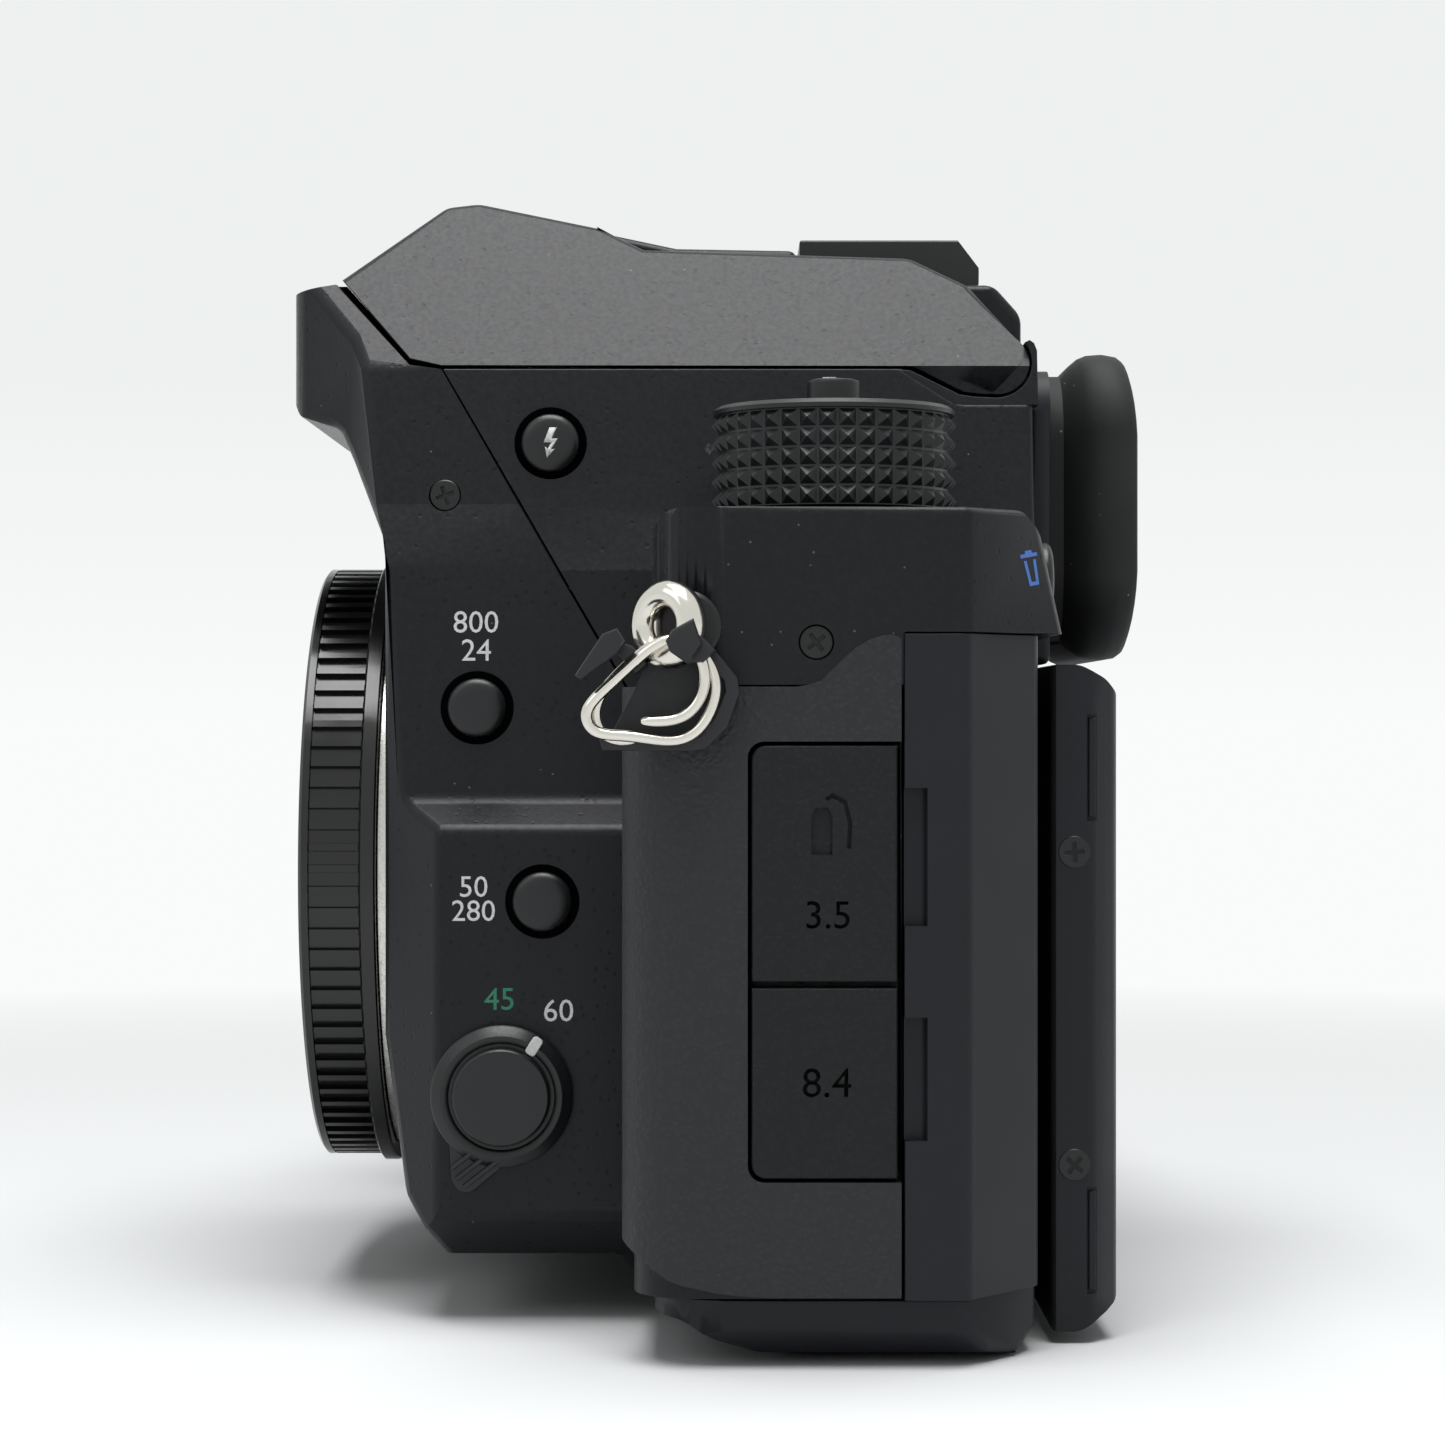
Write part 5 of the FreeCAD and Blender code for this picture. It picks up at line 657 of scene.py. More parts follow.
def makeBodyCap():
    cap = {"seat": (0, -31.12, 39), "ribs": 92, "ribShare": 0.4, "ribFrom": 1.5, "ribTo": 6.05,
           "groove": 27.9, "taper": 0.06, "ribHigh": 0.52}
    outline = []
    for k in range(cap["ribs"]):
        for part in (0, cap["ribShare"]):
            angle = math.tau * (k + part) / cap["ribs"]
            outline.append((math.cos(angle), math.sin(angle)))
    rings = [(-2.52, 21.2), (-2.3, 22), (0, 22), (0, 28.8), (0.15, 29), (1.3, 29), (1.48, 28.75),
             (cap["ribFrom"], cap["groove"]), (cap["ribTo"], cap["groove"]), (6.1, 28.4), (6.7, 28.45),
             (6.98, 28.1), (6.98, 27), (6.6, 26.5), (6.45, 18), (6.6, 17.6), (6.6, 16.2), (6.45, 15.8)]
    piece = drawn("bodyCapShell", outline, rings)

    def isRib(face):
        turn = turnOf(face, cap["ribFrom"], cap["ribTo"], cap["groove"] - 0.5)
        return turn is not None and turn * cap["ribs"] % 1 < cap["ribShare"]

    ribs(piece, isRib, cap["taper"], cap["ribHigh"])
    smooth(piece, 28)
    putAt(piece, "front", *cap["seat"])
    finishPiece(piece, "body_cap", "cap_gloss", "body_cap")


makeBodyCap()


# Dials

def numbered(dial, body, name, words, size, seat, ring, rise):
    # numerals round a dial's face, which name themselves by what they say
    x, y, z = seat
    for k, word in enumerate(words):
        angle = math.tau * k / len(words)
        place = (x + ring * math.sin(angle), y - ring * math.cos(angle), z + rise)
        printed(numeral(name + word, word, size), "top", place, dial, body, "key_plastic", "white",
                math.degrees(angle))


def makeModeDial():
    dial = {"seat": (43, 9.5, 70.4), "columns": 38, "rows": 5, "wall": 9.85, "first": 0.15, "row": 1.6,
            "margin": 0.1, "peak": 0.62, "words": "12345678", "wordSize": 3, "wordRing": 7.4,
            "wordRise": 9.2}
    rings = [(-3.9, 3), (0, 3.05), (0, 9.5), (dial["first"], dial["wall"])]
    rings += [(dial["first"] + dial["row"] * (k + 1), dial["wall"]) for k in range(dial["rows"])]
    rings += [(8.2, 10.3), (8.55, 10.35), (8.9, 9.9), (8.9, 9.3), (8.8, 9.15), (8.8, 2.7), (8.6, 2.6)]
    piece = drawn("modeDialKnob", ringOf(dial["columns"]), rings)
    top = dial["first"] + dial["row"] * dial["rows"]
    editing(piece)
    choose(piece, "FACE", lambda face: turnOf(face, dial["first"], top, 9) is not None)
    bpy.ops.mesh.inset(thickness=dial["margin"] * mm, use_individual=True)
    bpy.ops.mesh.poke(offset=dial["peak"] * mm)
    doneEditing()
    smooth(piece, 25)
    putAt(piece, "top", *dial["seat"])
    finishKey(piece, "mode_dial")
    numbered(piece, "mode_dial", "modeNumeral", dial["words"], dial["wordSize"], dial["seat"],
             dial["wordRing"], dial["wordRise"])


def makeRibbedDial(source, name, look, seat, count, high, rings):
    # twice as many sides as ribs, and every other side of the widest band is raised
    wall = max(wide for rise, wide in rings)
    low, top = [rise for rise, wide in rings if wide == wall]
    piece = drawn(name, ringOf(count * 2, 0.5), rings)

    def isRib(face):
        turn = turnOf(face, low, top, wall - 0.3)
        return turn is not None and round(turn * count * 2) % 2 == 0

    ribs(piece, isRib, 0.08, high)
    smooth(piece, 30)
    putAt(piece, look, *seat)
    finishKey(piece, source)
    return piece


def makeTopDials():
    dials = {"setting_dial": ("settingDialKnob", (-60, 4, 69.3), 7.5, "0123456789"),
             "function_dial": ("functionDialKnob", (-41.5, 5, 69.3), 7.8, "012345")}
    for source, (name, seat, r, words) in dials.items():
        rings = [(-3.8, 3), (0.1, 3), (0.1, r - 0.5), (0.3, r - 0.35), (4, r - 0.35), (4.4, r - 0.5),
                 (4.6, r - 0.9), (4.6, r - 1.3), (4.5, r - 1.4), (4.5, 1.2), (4.35, 1.1)]
        dial = makeRibbedDial(source, name, "top", seat, 34, 0.3, rings)
        numbered(dial, source, f"{name}Numeral", words, 2, seat, r - 2.6, 4.9)


def makeModeLock():
    rings = [(-7.9, 1.6), (0, 2.1), (0.1, 2.3), (1.95, 2.3), (2.25, 2.15), (2.35, 1.8), (2.25, 1.4),
             (2.2, 0.5)]
    makeKey("mode_dial_lock", "modeLockCap", "top", (43, 9.5, 79.4), rings, 40)


def makeControlDials():
    makeRibbedDial("front_dial", "frontDialWheel", "left", (-55.5, -29.5, 57.3), 26, 0.25,
                   [(-4.6, 4.5), (-4.4, 4.95), (4.4, 4.95), (4.6, 4.5), (4.6, 2), (4.4, 1.9)])
    makeRibbedDial("rear_dial", "rearDialWheel", "top", (-55, 21.2, 61.4), 36, 0.3,
                   [(0, 7), (0.2, 7.3), (3.7, 7.3), (3.95, 7), (4, 6.4), (3.8, 2)])
    makeRibbedDial("diopter_knob", "diopterWheel", "back", (-25.6, 25.5, 78), 20, 0.25,
                   [(0, 2.4), (2, 2.5), (2.4, 2.6), (4.9, 2.6), (5.1, 2.4), (5, 1.4)])


makeModeDial()
makeModeLock()
makeTopDials()
makeControlDials()
print("dials made")


# Keys and levers

def domed(low, high, r):
    # up a key's straight side, over its round shoulder and across its shallow crown
    crown = [(1.1, 0.97), (0.75, 1), (0.5, 0.985), (0.28, 0.92), (0.12, 0.78), (0.03, 0.55), (0, 0.22)]
    return [(low, r * 0.88)] + [(high - down, r * share) for down, share in crown]


def makeKeys():
    side = {"flash_button": ("flashKey", (29.6, -15.4, 77.5), -1.05),
            "raw_button": ("upperSideKey", (33.6, -21.7, 53.8), -1.1),
            "af_mode_button": ("lowerSideKey", (38, -15.7, 36.9), -1.05)}
    for source, (name, seat, brim) in side.items():
        makeKey(source, name, "left", seat, domed(-4.6, 0, 2.6))
    # near-black rings of painted shade in the wells round the side keys
    for name, seat, brim in side.values():
        rings = [(-1.6, 2.64), (-1.6, 3.25), (brim, 3.25), (brim, 2.64), (-1.6, 2.64)]
        wellShade = drawn(f"{name}Well", ringOf(48), rings, closed=True)
        putAt(wellShade, "left", *seat)
        paintShade(wellShade, "casing")
    back = {"live_view_button": ("liveViewKey", -38, 53), "lock_button": ("lockKey", -47, 53),
            "playback_button": ("playbackKey", -44, 11.5), "menu_button": ("menuKey", -59.5, 11.5)}
    for source, (name, x, z) in back.items():
        makeKey(source, name, "back", (x, 27.3, z), domed(-3.3, 0, 2.9))
    makeKey("delete_button", "deleteKey", "back", (42, 28.3, 64.7), domed(-3.5, 0, 3.2))
    makeKey("lens_release_button", "lensReleaseKey", "front", (-32.6, -25, 30),
            [(0, 3), (4.6, 3.1), (4.8, 3.6), (5.9, 3.6), (6.2, 3.4), (6, 2.4), (5.9, 0.6)])


def makeFocusLever():
    lever = {"seat": (37.05, -19.2, 20), "index": -33, "indexRing": 5.25}
    rings = [(-4, 2.6), (0, 2.6), (0, 5.9), (0.15, 6.2), (0.75, 6.2), (1, 6.05), (1.5, 5.3), (1.55, 4.75),
             (1.1, 4.6), (1.1, 4.3), (1.95, 4.25), (2.12, 4.05), (2.15, 3.6), (2.12, 1)]
    tab = [(-4.7, -2.6), (-2, -2.6), (1, -5.4), (-2.7, -8.4), (-3.7, -8.3), (-4.4, -7.4)]
    lines = [(-3.1, -8, 0.5, -5.2), (-3.75, -7.3, -0.6, -4.85), (-4.2, -6.4, -1.8, -4.55)]
    parts = [drawn("leverRing", ringOf(72), rings), plate("leverTab", tab, 0.05, 0.8, 0.2, 0.35)]
    for k, (u, v, uu, vv) in enumerate(lines):
        rib = [(u, v), (uu, vv), (uu - 0.26, vv + 0.34), (u - 0.26, v + 0.34)]
        parts.append(plate(f"leverRib{k}", rib, 0.7, 1.3, 0.12))
    piece = joined("focusLeverKnob", *parts)
    smooth(piece, 30)
    putAt(piece, "left", *lever["seat"])
    finishKey(piece, "focus_lever")
    outline = [(u, v + lever["indexRing"]) for u, v in boxOutline(0.48, 0.85, 0.3, 3)]
    mark = plate("leverIndex", outline, 1.2, 1.62, 0.1)
    putAt(mark, "left", *lever["seat"], lever["index"])
    finishPiece(mark, "focus_lever", "key_plastic", finish=inks["white"])


def makeShutterRelease():
    rings = [(0, 4.2), (1.6, 4.3), (1.7, 5.1), (3.3, 5.4), (3.7, 5.2), (4, 4.7), (4.1, 4.2), (3.95, 3.4),
             (3.75, 2.2), (3.68, 0.8)]
    piece = turned("shutterKey", rings, "top", (-57, -20.5, 65.2), 56)
    finishPiece(piece, "shutter_button", "black_steel", "shutter_button")
    rings = [(0, 6), (0, 9), (0.2, 9.2), (1.5, 9.2), (1.8, 8.9), (1.8, 6.2), (1.6, 6), (0, 6)]
    ring = drawn("switchRing", ringOf(64), rings, closed=True)
    tab = plate("switchTab", [(-1.9, 8.6), (1.9, 8.6), (1.3, 11.9), (-1.3, 11.9)], 0.1, 1.8, 0.3, 0.6)
    piece = joined("powerSwitchRing", ring, tab)
    smooth(piece, 30)
    putAt(piece, "top", -57, -20.5, 66.9)
    finishKey(piece, "power_switch")


def makePad():
    pad = {"seat": (-51.5, 24, 27), "arrows": (-51.5, 27.5, 27)}
    rings = [(0, 4.4), (0, 9.2), (2.2, 9.2), (2.9, 9.5), (3.2, 9.2), (3.3, 8.4), (3.1, 7.2), (2.9, 5.4),
             (3, 4.7), (2.8, 4.4), (0, 4.4)]
    ring = drawn("padRing", ringOf(64), rings, closed=True)
    putAt(ring, "back", *pad["seat"])
    rings = [(0, 3.9), (2.3, 3.95), (2.7, 4.1), (3, 3.9), (3.1, 3.2), (3.05, 0.8)]
    centre = turned("padCentre", rings, "back", pad["seat"], 48)
    piece = joined("fourWayPad", ring, centre)
    smooth(piece, 30)
    finishKey(piece, "four_way_pad")
    for k in range(4):
        mark = laid(f"padArrow{k}", [(-0.7, 6.6), (0.7, 6.6), (0, 7.7)])
        printed(mark, "back", pad["arrows"], piece, "four_way_pad", "key_plastic", "white", 90 * k)


makeKeys()
makeFocusLever()
makeShutterRelease()
makePad()
print("keys made")


# Side skin and port covers

def along(table, y):
    # height at y on a line through the table's points, level beyond its ends
    if y <= table[0][0]:
        return table[0][1]
    for (y0, z0), (y1, z1) in zip(table, table[1:]):
        if y <= y1:
            return z0 + (z1 - z0) * (y - y0) / (y1 - y0)
    return table[-1][1]


def makeSideSkin():
    skin = {"front": 48.4, "rear": 14.5, "out": 58.42, "corner": 6, "face": -8.3, "thick": 1,
            "holeFrom": 2.05, "holeLow": 15.25, "holeTop": 50.95, "holeCorner": 1.3, "soft": 0.18}
    foot = [(-8.3, 9.9), (-4.3, 7.1), (-0.2, 6.2), (3, 5.9)]
    tongue = [(6, 55.4), (6.3, 55.4), (7.9, 55.8), (8.9, 56.8), (10, 57.9), (11.4, 59), (12.8, 59.55),
              (14, 59.6), (14.5, 59.3)]
    columns = (-0.5, 1, skin["holeFrom"], 4, 6, 7, 8, 9, 10, 11, 12, 13, 13.8, skin["rear"])
    rows = [skin["holeLow"], 30, skin["holeTop"], 53]
    path = [(skin["front"], skin["face"]), (50.5, skin["face"])]
    path += arc(skin["out"] - skin["corner"], skin["face"] + skin["corner"], skin["corner"], -90, 0, 8)
    path += [(skin["out"], y) for y in columns]
    unpick()
    bpy.ops.mesh.primitive_grid_add(x_subdivisions=len(path) - 1, y_subdivisions=len(rows) + 1, size=mm)
    piece = newest("sideSkin")
    for at, vert in enumerate(piece.data.vertices):
        x, y = path[at % len(path)]
        heights = [along(foot, y), *rows, along(tongue, y)]
        vert.co = spot(x, y, heights[at // len(path)])

    def isHole(face):
        _, y, z = face.calc_center_median() / mm
        return skin["holeFrom"] < y and skin["holeLow"] < z < skin["holeTop"]

    def isCorner(vert):
        _, y, z = vert.co / mm
        level = min(abs(z - skin["holeLow"]), abs(z - skin["holeTop"]))
        return max(abs(y - skin["holeFrom"]), level) < 0.01

    editing(piece)
    choose(piece, "FACE", isHole)
    bpy.ops.mesh.delete(type="FACE")
    choose(piece, "VERT", isCorner)
    bpy.ops.mesh.bevel(offset=skin["holeCorner"] * mm, segments=5, affect="VERTICES")
    pickAll()
    bpy.ops.mesh.normals_make_consistent(inside=False)
    doneEditing()
    if sum(face.normal.x * face.area for face in piece.data.polygons) < 0:
        flip(piece)
    modify(piece, "SOLIDIFY", thickness=skin["thick"] * mm, offset=-1, use_even_offset=True)
    modify(piece, "BEVEL", width=skin["soft"] * mm, segments=2, limit_method="ANGLE",
           angle_limit=math.radians(50))
    smooth(piece, 40)
    finishPiece(piece, "casing", "grain_rubber", "side_skin")


def coverPlate(name, low, high, roundTop):
    # a cover is round at the front, the upper one at its top and the lower one at its foot
    front, rear, corner = 2.35, 14.15, 1.15
    middle = front + corner
    if roundTop:
        bend = arc(middle, high - corner, corner, 90, 180, 6) + [(front, low)]
    else:
        bend = [(front, high)] + arc(middle, low + corner, corner, 180, 270, 6)
    return sidePlate(name, [(rear, high), *bend, (rear, low)], 56.5, 58.42, 0.22, steps=3)


def makePortCovers():
    cutDeep = 57.95
    # the second colour is the painted shade in the grain's creases
    rubber = leatherGrainRubber("pressedCoverRubber", "#17181a", "#121315", 0.26)
    upper = coverPlate("upperPortCover", 31.5, 50.65, True)
    words = numeral("portNumeral", "3.5", 3.2, 1)
    # a plug seen from the side, and its cord
    outline = [(-1, -1.9), (0.7, -1.9), (0.7, 1.2), (0.35, 1.9), (-0.65, 1.9), (-1, 1.2)]
    plug = plate("plugCut", outline, 0, 1)
    outline = [(1.25, 2.3), (0.1, 2.9), (-0.5, 2.5), (-0.35, 2.25), (0.1, 2.5), (1, 2), (1.35, 0.4),
               (1.25, -1.6), (1.6, -1.6), (1.7, 0.5)]
    cord = plate("tailCut", outline, 0, 1)
    for cutter, y, z in ((plug, 8.2, 43.7), (cord, 8.8, 43.9), (words, 8.55, 36.8)):
        putAt(cutter, "left", cutDeep, y, z)
    carved(upper, plug, cord, words)
    finishPiece(upper, "usb_cover", "grain_rubber", "usb_cover", finish=rubber)
    lower = coverPlate("lowerPortCover", 15.55, 31, False)
    words = numeral("powerNumeral", "8.4", 3.4, 1)
    putAt(words, "left", cutDeep, 8.45, 23.2)
    carved(lower, words)
    finishPiece(lower, "dc_cover", "grain_rubber", "dc_cover", finish=rubber)


makeSideSkin()
makePortCovers()
print("skin and covers made")


# Eyecup

def makeEyecup():
    cup = {"seat": (0, 0, 72.65), "half": 21.5, "tall": 14.35, "corner": 7.5, "bow": 1, "bowFrom": 33}
    steps = [(30.3, 0.8, 0.875), (31.7, 0.8, 0.875), (32.5, 0.86, 0.93), (33.4, 0.93, 0.975),
             (34.6, 0.975, 0.995), (36.4, 0.995, 1), (37.6, 0.985, 0.985), (38.15, 0.96, 0.955),
             (38.3, 0.93, 0.91), (38, 0.89, 0.85), (36.8, 0.84, 0.78), (35, 0.76, 0.7),
             (33.4, 0.66, 0.63), (32.6, 0.585, 0.59), (30.3, 0.58, 0.585), (30.3, 0.8, 0.875)]
    piece = drawn("eyecupRubber", boxOutline(cup["half"], cup["tall"], cup["corner"], 7), steps, closed=True)
    for vert in piece.data.vertices:                    # the rim bows forward at its top and foot
        reach = abs(vert.co.y / mm) / cup["tall"]
        if vert.co.z > cup["bowFrom"] * mm:
            share = min(1, (vert.co.z / mm - cup["bowFrom"]) / 3)
            vert.co.z -= cup["bow"] * mm * reach ** 3 * share
    smooth(piece, 50)
    putAt(piece, "back", *cup["seat"])
    room = plate("lensRoom", oblong(-11.6, -15, 11.6, 8), 29.5, 31.8)
    putAt(room, "back", *cup["seat"])
    carved(piece, room)                                 # so that the cup slides up past the lens
    smooth(piece, 50)
    finishPiece(piece, "eyecup", "cup_rubber", "eyecup")


makeEyecup()


# Strap gear

def wireMesh(name, points, r):
    unpick()
    curve = bpy.data.curves.new(name, "CURVE")
    curve.dimensions = "3D"
    run = curve.splines.new("NURBS")
    run.points.add(len(points) - 1)
    for point, place in zip(run.points, points):
        point.co = (*spot(*place), 1)
    run.points[0].radius = run.points[-1].radius = 0.45
    run.order_u = 4
    run.use_endpoint_u = True
    run.resolution_u = 5
    curve.bevel_depth = r * mm
    curve.bevel_resolution = 3
    curve.use_fill_caps = True
    piece = bpy.data.objects.new(name, curve)
    bpy.context.scene.collection.objects.link(piece)
    focusOn(piece)
    bpy.ops.object.convert(target="MESH")
    piece = newest(name)
    tidyNormals(piece)
    smooth(piece, 50)
    return piece


def makeWireRing():
    # a wire of two turns, which lean towards the casing as they go round
    front = [(-6.5, 52.6), (-6.2, 52.6), (-4.4, 52.5), (-2.8, 53), (-1.7, 54.4), (-1.3, 56), (-1.6, 57.7),
             (-2.9, 59.2), (-4.7, 59.2), (-6.6, 57.8), (-8.8, 55.7), (-10.5, 54.2), (-11.1, 52.9),
             (-10.2, 51.5), (-8, 51.5), (-5.8, 51.2), (-3.6, 50.85), (-1.8, 51.8), (-0.7, 53.8),
             (-0.4, 55.6), (-1, 57.3)]
    back = [(-2.4, 58.9), (-4.4, 59.3), (-6.3, 58.3), (-8.3, 56.5), (-9.9, 54.7), (-10.3, 53), (-9.8, 51.6),
            (-8.4, 51), (-7.2, 51.05), (-6.95, 51.07)]
    points = [(62, y, z) for y, z in front[:6]]
    points += [(62.0 - 0.5 * k / 14, y, z) for k, (y, z) in enumerate(front[6:])]
    points += [(61.4 - 0.45 * k / 9, y, z) for k, (y, z) in enumerate(back)]
    return wireMesh("leftWireRing", points, 0.48)


def makeLugEye():
    eye = {"seat": (60.95, -4.3, 60.3), "turn": -38, "ring": 2.35, "wire": 1.12,
           "stretch": (0.98, 1.05, 1.25)}
    unpick()
    bpy.ops.mesh.primitive_torus_add(major_radius=eye["ring"] * mm, minor_radius=eye["wire"] * mm,
                                     major_segments=40, minor_segments=18)
    piece = newest("leftLugEye")
    editing(piece)
    pickAll()
    bpy.ops.transform.resize(value=eye["stretch"])
    doneEditing()
    way = Matrix.Rotation(math.radians(eye["turn"]), 4, "Z") @ facing["left"]
    piece.matrix_world = Matrix.Translation(spot(*eye["seat"])) @ way
    settle(piece)
    smooth(piece, 50)
    return piece


def makeGuard():
    leaves = {
        "guardStrip": (58.75, 61.1, 0.15, [
            (-9.9, 51.2), (-9.6, 50.25), (-2.5, 50.22), (-1.3, 50.4), (0.4, 52.1), (1.38, 54.9), (1.2, 56.1),
            (-0.1, 57.7), (-1.6, 59.3), (-2.6, 58.4), (-1, 56.9), (0.1, 55.9), (0.25, 55), (-0.65, 52.9),
            (-1.8, 51.4), (-2.8, 51.05), (-8, 51.05), (-9.4, 51.5)]),
        "guardBack": (58.65, 59.15, 0.1, [
            (-9.6, 50.4), (-2.4, 50.4), (0.3, 52.4), (1.1, 55), (-1.9, 58.8), (-5.2, 58.8)]),
        "guardFlap": (62.7, 65.5, 0.3, [
            (-2.3, 60.75), (-1.6, 58.7), (-2.7, 57.1), (-4.15, 58.1), (-4.5, 58.95), (-4, 59.8)]),
        "guardNeck": (60.6, 64.6, 0.25, [
            (-1.65, 59.4), (-0.5, 58.2), (-1.5, 57.3), (-2.7, 57.2), (-2.6, 58.8)]),
        "guardLeaf": (61, 63.6, 0.25, [
            (-9.55, 59.55), (-8.4, 60), (-7.8, 59), (-8.4, 58), (-11.3, 55.9), (-11.75, 56.25)]),
        "guardStalk": (59, 61.4, 0.2, [
            (-8.5, 59.1), (-7.2, 58.6), (-6, 57.2), (-6.9, 56.4), (-8.6, 58.2)]),
    }
    parts = [plate(name, outline, low, high, soft) for name, (low, high, soft, outline) in leaves.items()]
    guard = joined("leftGuard", *parts)
    putAt(guard, "left")
    smooth(guard, 30)
    return guard


def makeStrapGear():
    middle = -7.1                                       # of the two lugs
    ring = makeWireRing()
    lug = makeLugEye()
    rings = [(-1, 2.9), (0.2, 2.9), (0.45, 2.6), (0.45, 0.8)]
    seat = turned("leftLugSeat", rings, "left", (58.3, -3, 60.3), 32)
    guard = makeGuard()
    for piece, body, slot, stands in ((ring, "left_ring", "bare_steel", ("left_strap_ring",)),
                                      (guard, "left_ring", "guard_plastic", ("left_strap_guard",)),
                                      (lug, "casing", "bare_steel", ("strap_lugs",)),
                                      (seat, "casing", "black_steel", ())):
        twin = mirrored(piece, middle)
        flip(twin)
        smooth(twin)
        finishPiece(piece, body, slot, *stands)
        rightStands = [name.replace("left", "right") for name in stands if "left" in name]
        finishPiece(twin, body.replace("left", "right"), slot, *rightStands)


makeStrapGear()
print("strap gear made")


# Screws, slots and marks

def makeScrews():
    rings = [(-2, 1), (-0.3, 1.3), (-0.1, 1.4), (0, 1.3), (0.02, 0.6)]
    head = turned("screwHead", rings, "left", (0, 0, 0), 32)
    arm = sidePlate("crossArm", oblong(-0.85, -0.18, 0.85, 0.18), -0.45, 1)
    other = sidePlate("crossArmAcross", oblong(-0.18, -0.85, 0.18, 0.85), -0.45, 1)
    carved(head, arm, other)
    places = [("left", 29.25, -24.8, 72.8, "casing", 20), ("left", 58.05, 7.6, 59, "casing", 38),
              ("left", 46.06, 29.75, 41.55, "monitor", 5), ("left", 46.06, 29.75, 15.1, "monitor", 50),
              ("base", 46, 15, 0.25, "casing", 0), ("base", -36, 15, 0.25, "casing", 30),
              ("base", 18, -17, 4.45, "casing", 15), ("base", -18, -17, 4.45, "casing", 60)]
    stands = ("casing_screws",)
    for k, (look, x, y, z, body, turn) in enumerate(places):
        screw = copyOf(head, f"crossScrew{k + 1}")
        way = facing[look] @ Matrix.Rotation(math.radians(turn), 4, "Z")
        screw.matrix_world = Matrix.Translation(spot(x, y, z)) @ way @ facing["left"].inverted()
        settle(screw)
        finishPiece(screw, body, "black_steel", *stands)
        stands = ()
    bpy.data.objects.remove(head)


def makeSlotBars():
    for name, low, high in (("upperSlotBar", 44.5, 52.9), ("lowerSlotBar", 4.5, 12.9)):
        bar = sidePlate(name, oblong(31, low, 31.6, high), 45.2, 45.75, 0.08)
        finishPiece(bar, "monitor", "casing_matte")


def makeGapShade():
    # a near-black wall of painted shade between the nose and the flash cover, which closes the daylight there
    wall = {"outline": [(-35.38, 92.62), (-28.78, 85.3), (-28.13, 85.3), (-34.54, 92.62)], "half": 17,
            "foot": 84.6, "footHalf": 26.1, "lean": 0.76}
    shade = sidePlate("flashWellWall", wall["outline"], -wall["half"], wall["half"])
    for vert in shade.data.vertices:                    # its ends follow the sloping sides of the hump
        half = wall["footHalf"] - (vert.co.z / mm - wall["foot"]) * wall["lean"]
        vert.co.x = math.copysign(half * mm, vert.co.x)
    paintShade(shade, "casing")


def makeHumpLips():
    # the casing's edge behind the flash cover's rounded rear end
    pin = {"y": 24.6, "z": 84.95, "r": 3.25, "face": 27.2, "draft": 0.183, "webTo": 3.75, "webFrom": 3.08}
    outline = [(16.3, 84.25), (16.9, 84.22), (21.3, 82), (22.4, 81.82)]
    outline += arc(pin["y"], pin["z"], pin["r"], -92, 34.5, 11)
    outline += [(27.7, 87), (28.1, 86.7), (28.35, 86), (28.35, 81), (20.8, 81), (16, 84)]
    lip = sidePlate("leftHumpLip", outline, 25, 27, 0.12)
    for vert in lip.data.vertices:
        if vert.co.x > 26 * mm:
            vert.co.x += (pin["face"] - 27.0 - (vert.co.z / mm - 84.3) * pin["draft"]) * mm
    twin = mirrored(lip)
    tidyNormals(twin)
    for piece in (lip, twin):
        smooth(piece, 30)
        finishPiece(piece, "casing", "casing_paint")
    # thin near-black webs of painted shade on the cover, inside the lips, which close the daylight round its
    # end
    outline = arc(pin["y"], pin["z"], pin["webTo"], -18, 34, 10)
    outline += arc(pin["y"], pin["z"], pin["webFrom"], 34, -18, 10)
    for name, low in (("leftLipWeb", 24.1), ("rightLipWeb", -25)):
        paintShade(sidePlate(name, outline, low, low + 0.9), "flash")


def makeCornerFill():
    # closes a slit where the room inside the right shoulder reaches its slanted rear corner
    corners = [(71.152, -21.694), (69.978, -23.214), (69.242, -22.645), (70.416, -21.125)]
    piece = plate("shoulderCornerFill", corners, 59.87, 67.3)
    putAt(piece, "top")
    finishPiece(piece, "casing", "casing_paint")


def makeHoodEnds():
    # the flash cover's rear end is round about its hinge pins, so that it turns in its recess
    end = {"y": 24.7, "z": 85, "r": 2.95, "crease": 84.6, "half": 27.1, "lean": 0.7625}
    dip = math.degrees(math.asin((end["crease"] - end["z"]) / end["r"]))
    parts = []
    for name, first, last in (("hoodEndUpper", dip, 180 - dip), ("hoodEndLower", -180 - dip, dip)):
        outline = arc(end["y"], end["z"], end["r"], first, last, 18)
        parts.append(sidePlate(name, outline, -end["half"], end["half"]))
    piece = joined("hoodEndRound", *parts)
    for vert in piece.data.vertices:
        inward = max(0, vert.co.z / mm - end["crease"]) * end["lean"]
        vert.co.x = math.copysign((end["half"] - inward) * mm, vert.co.x)
    smooth(piece, 30)
    finishPiece(piece, "flash", "casing_paint")


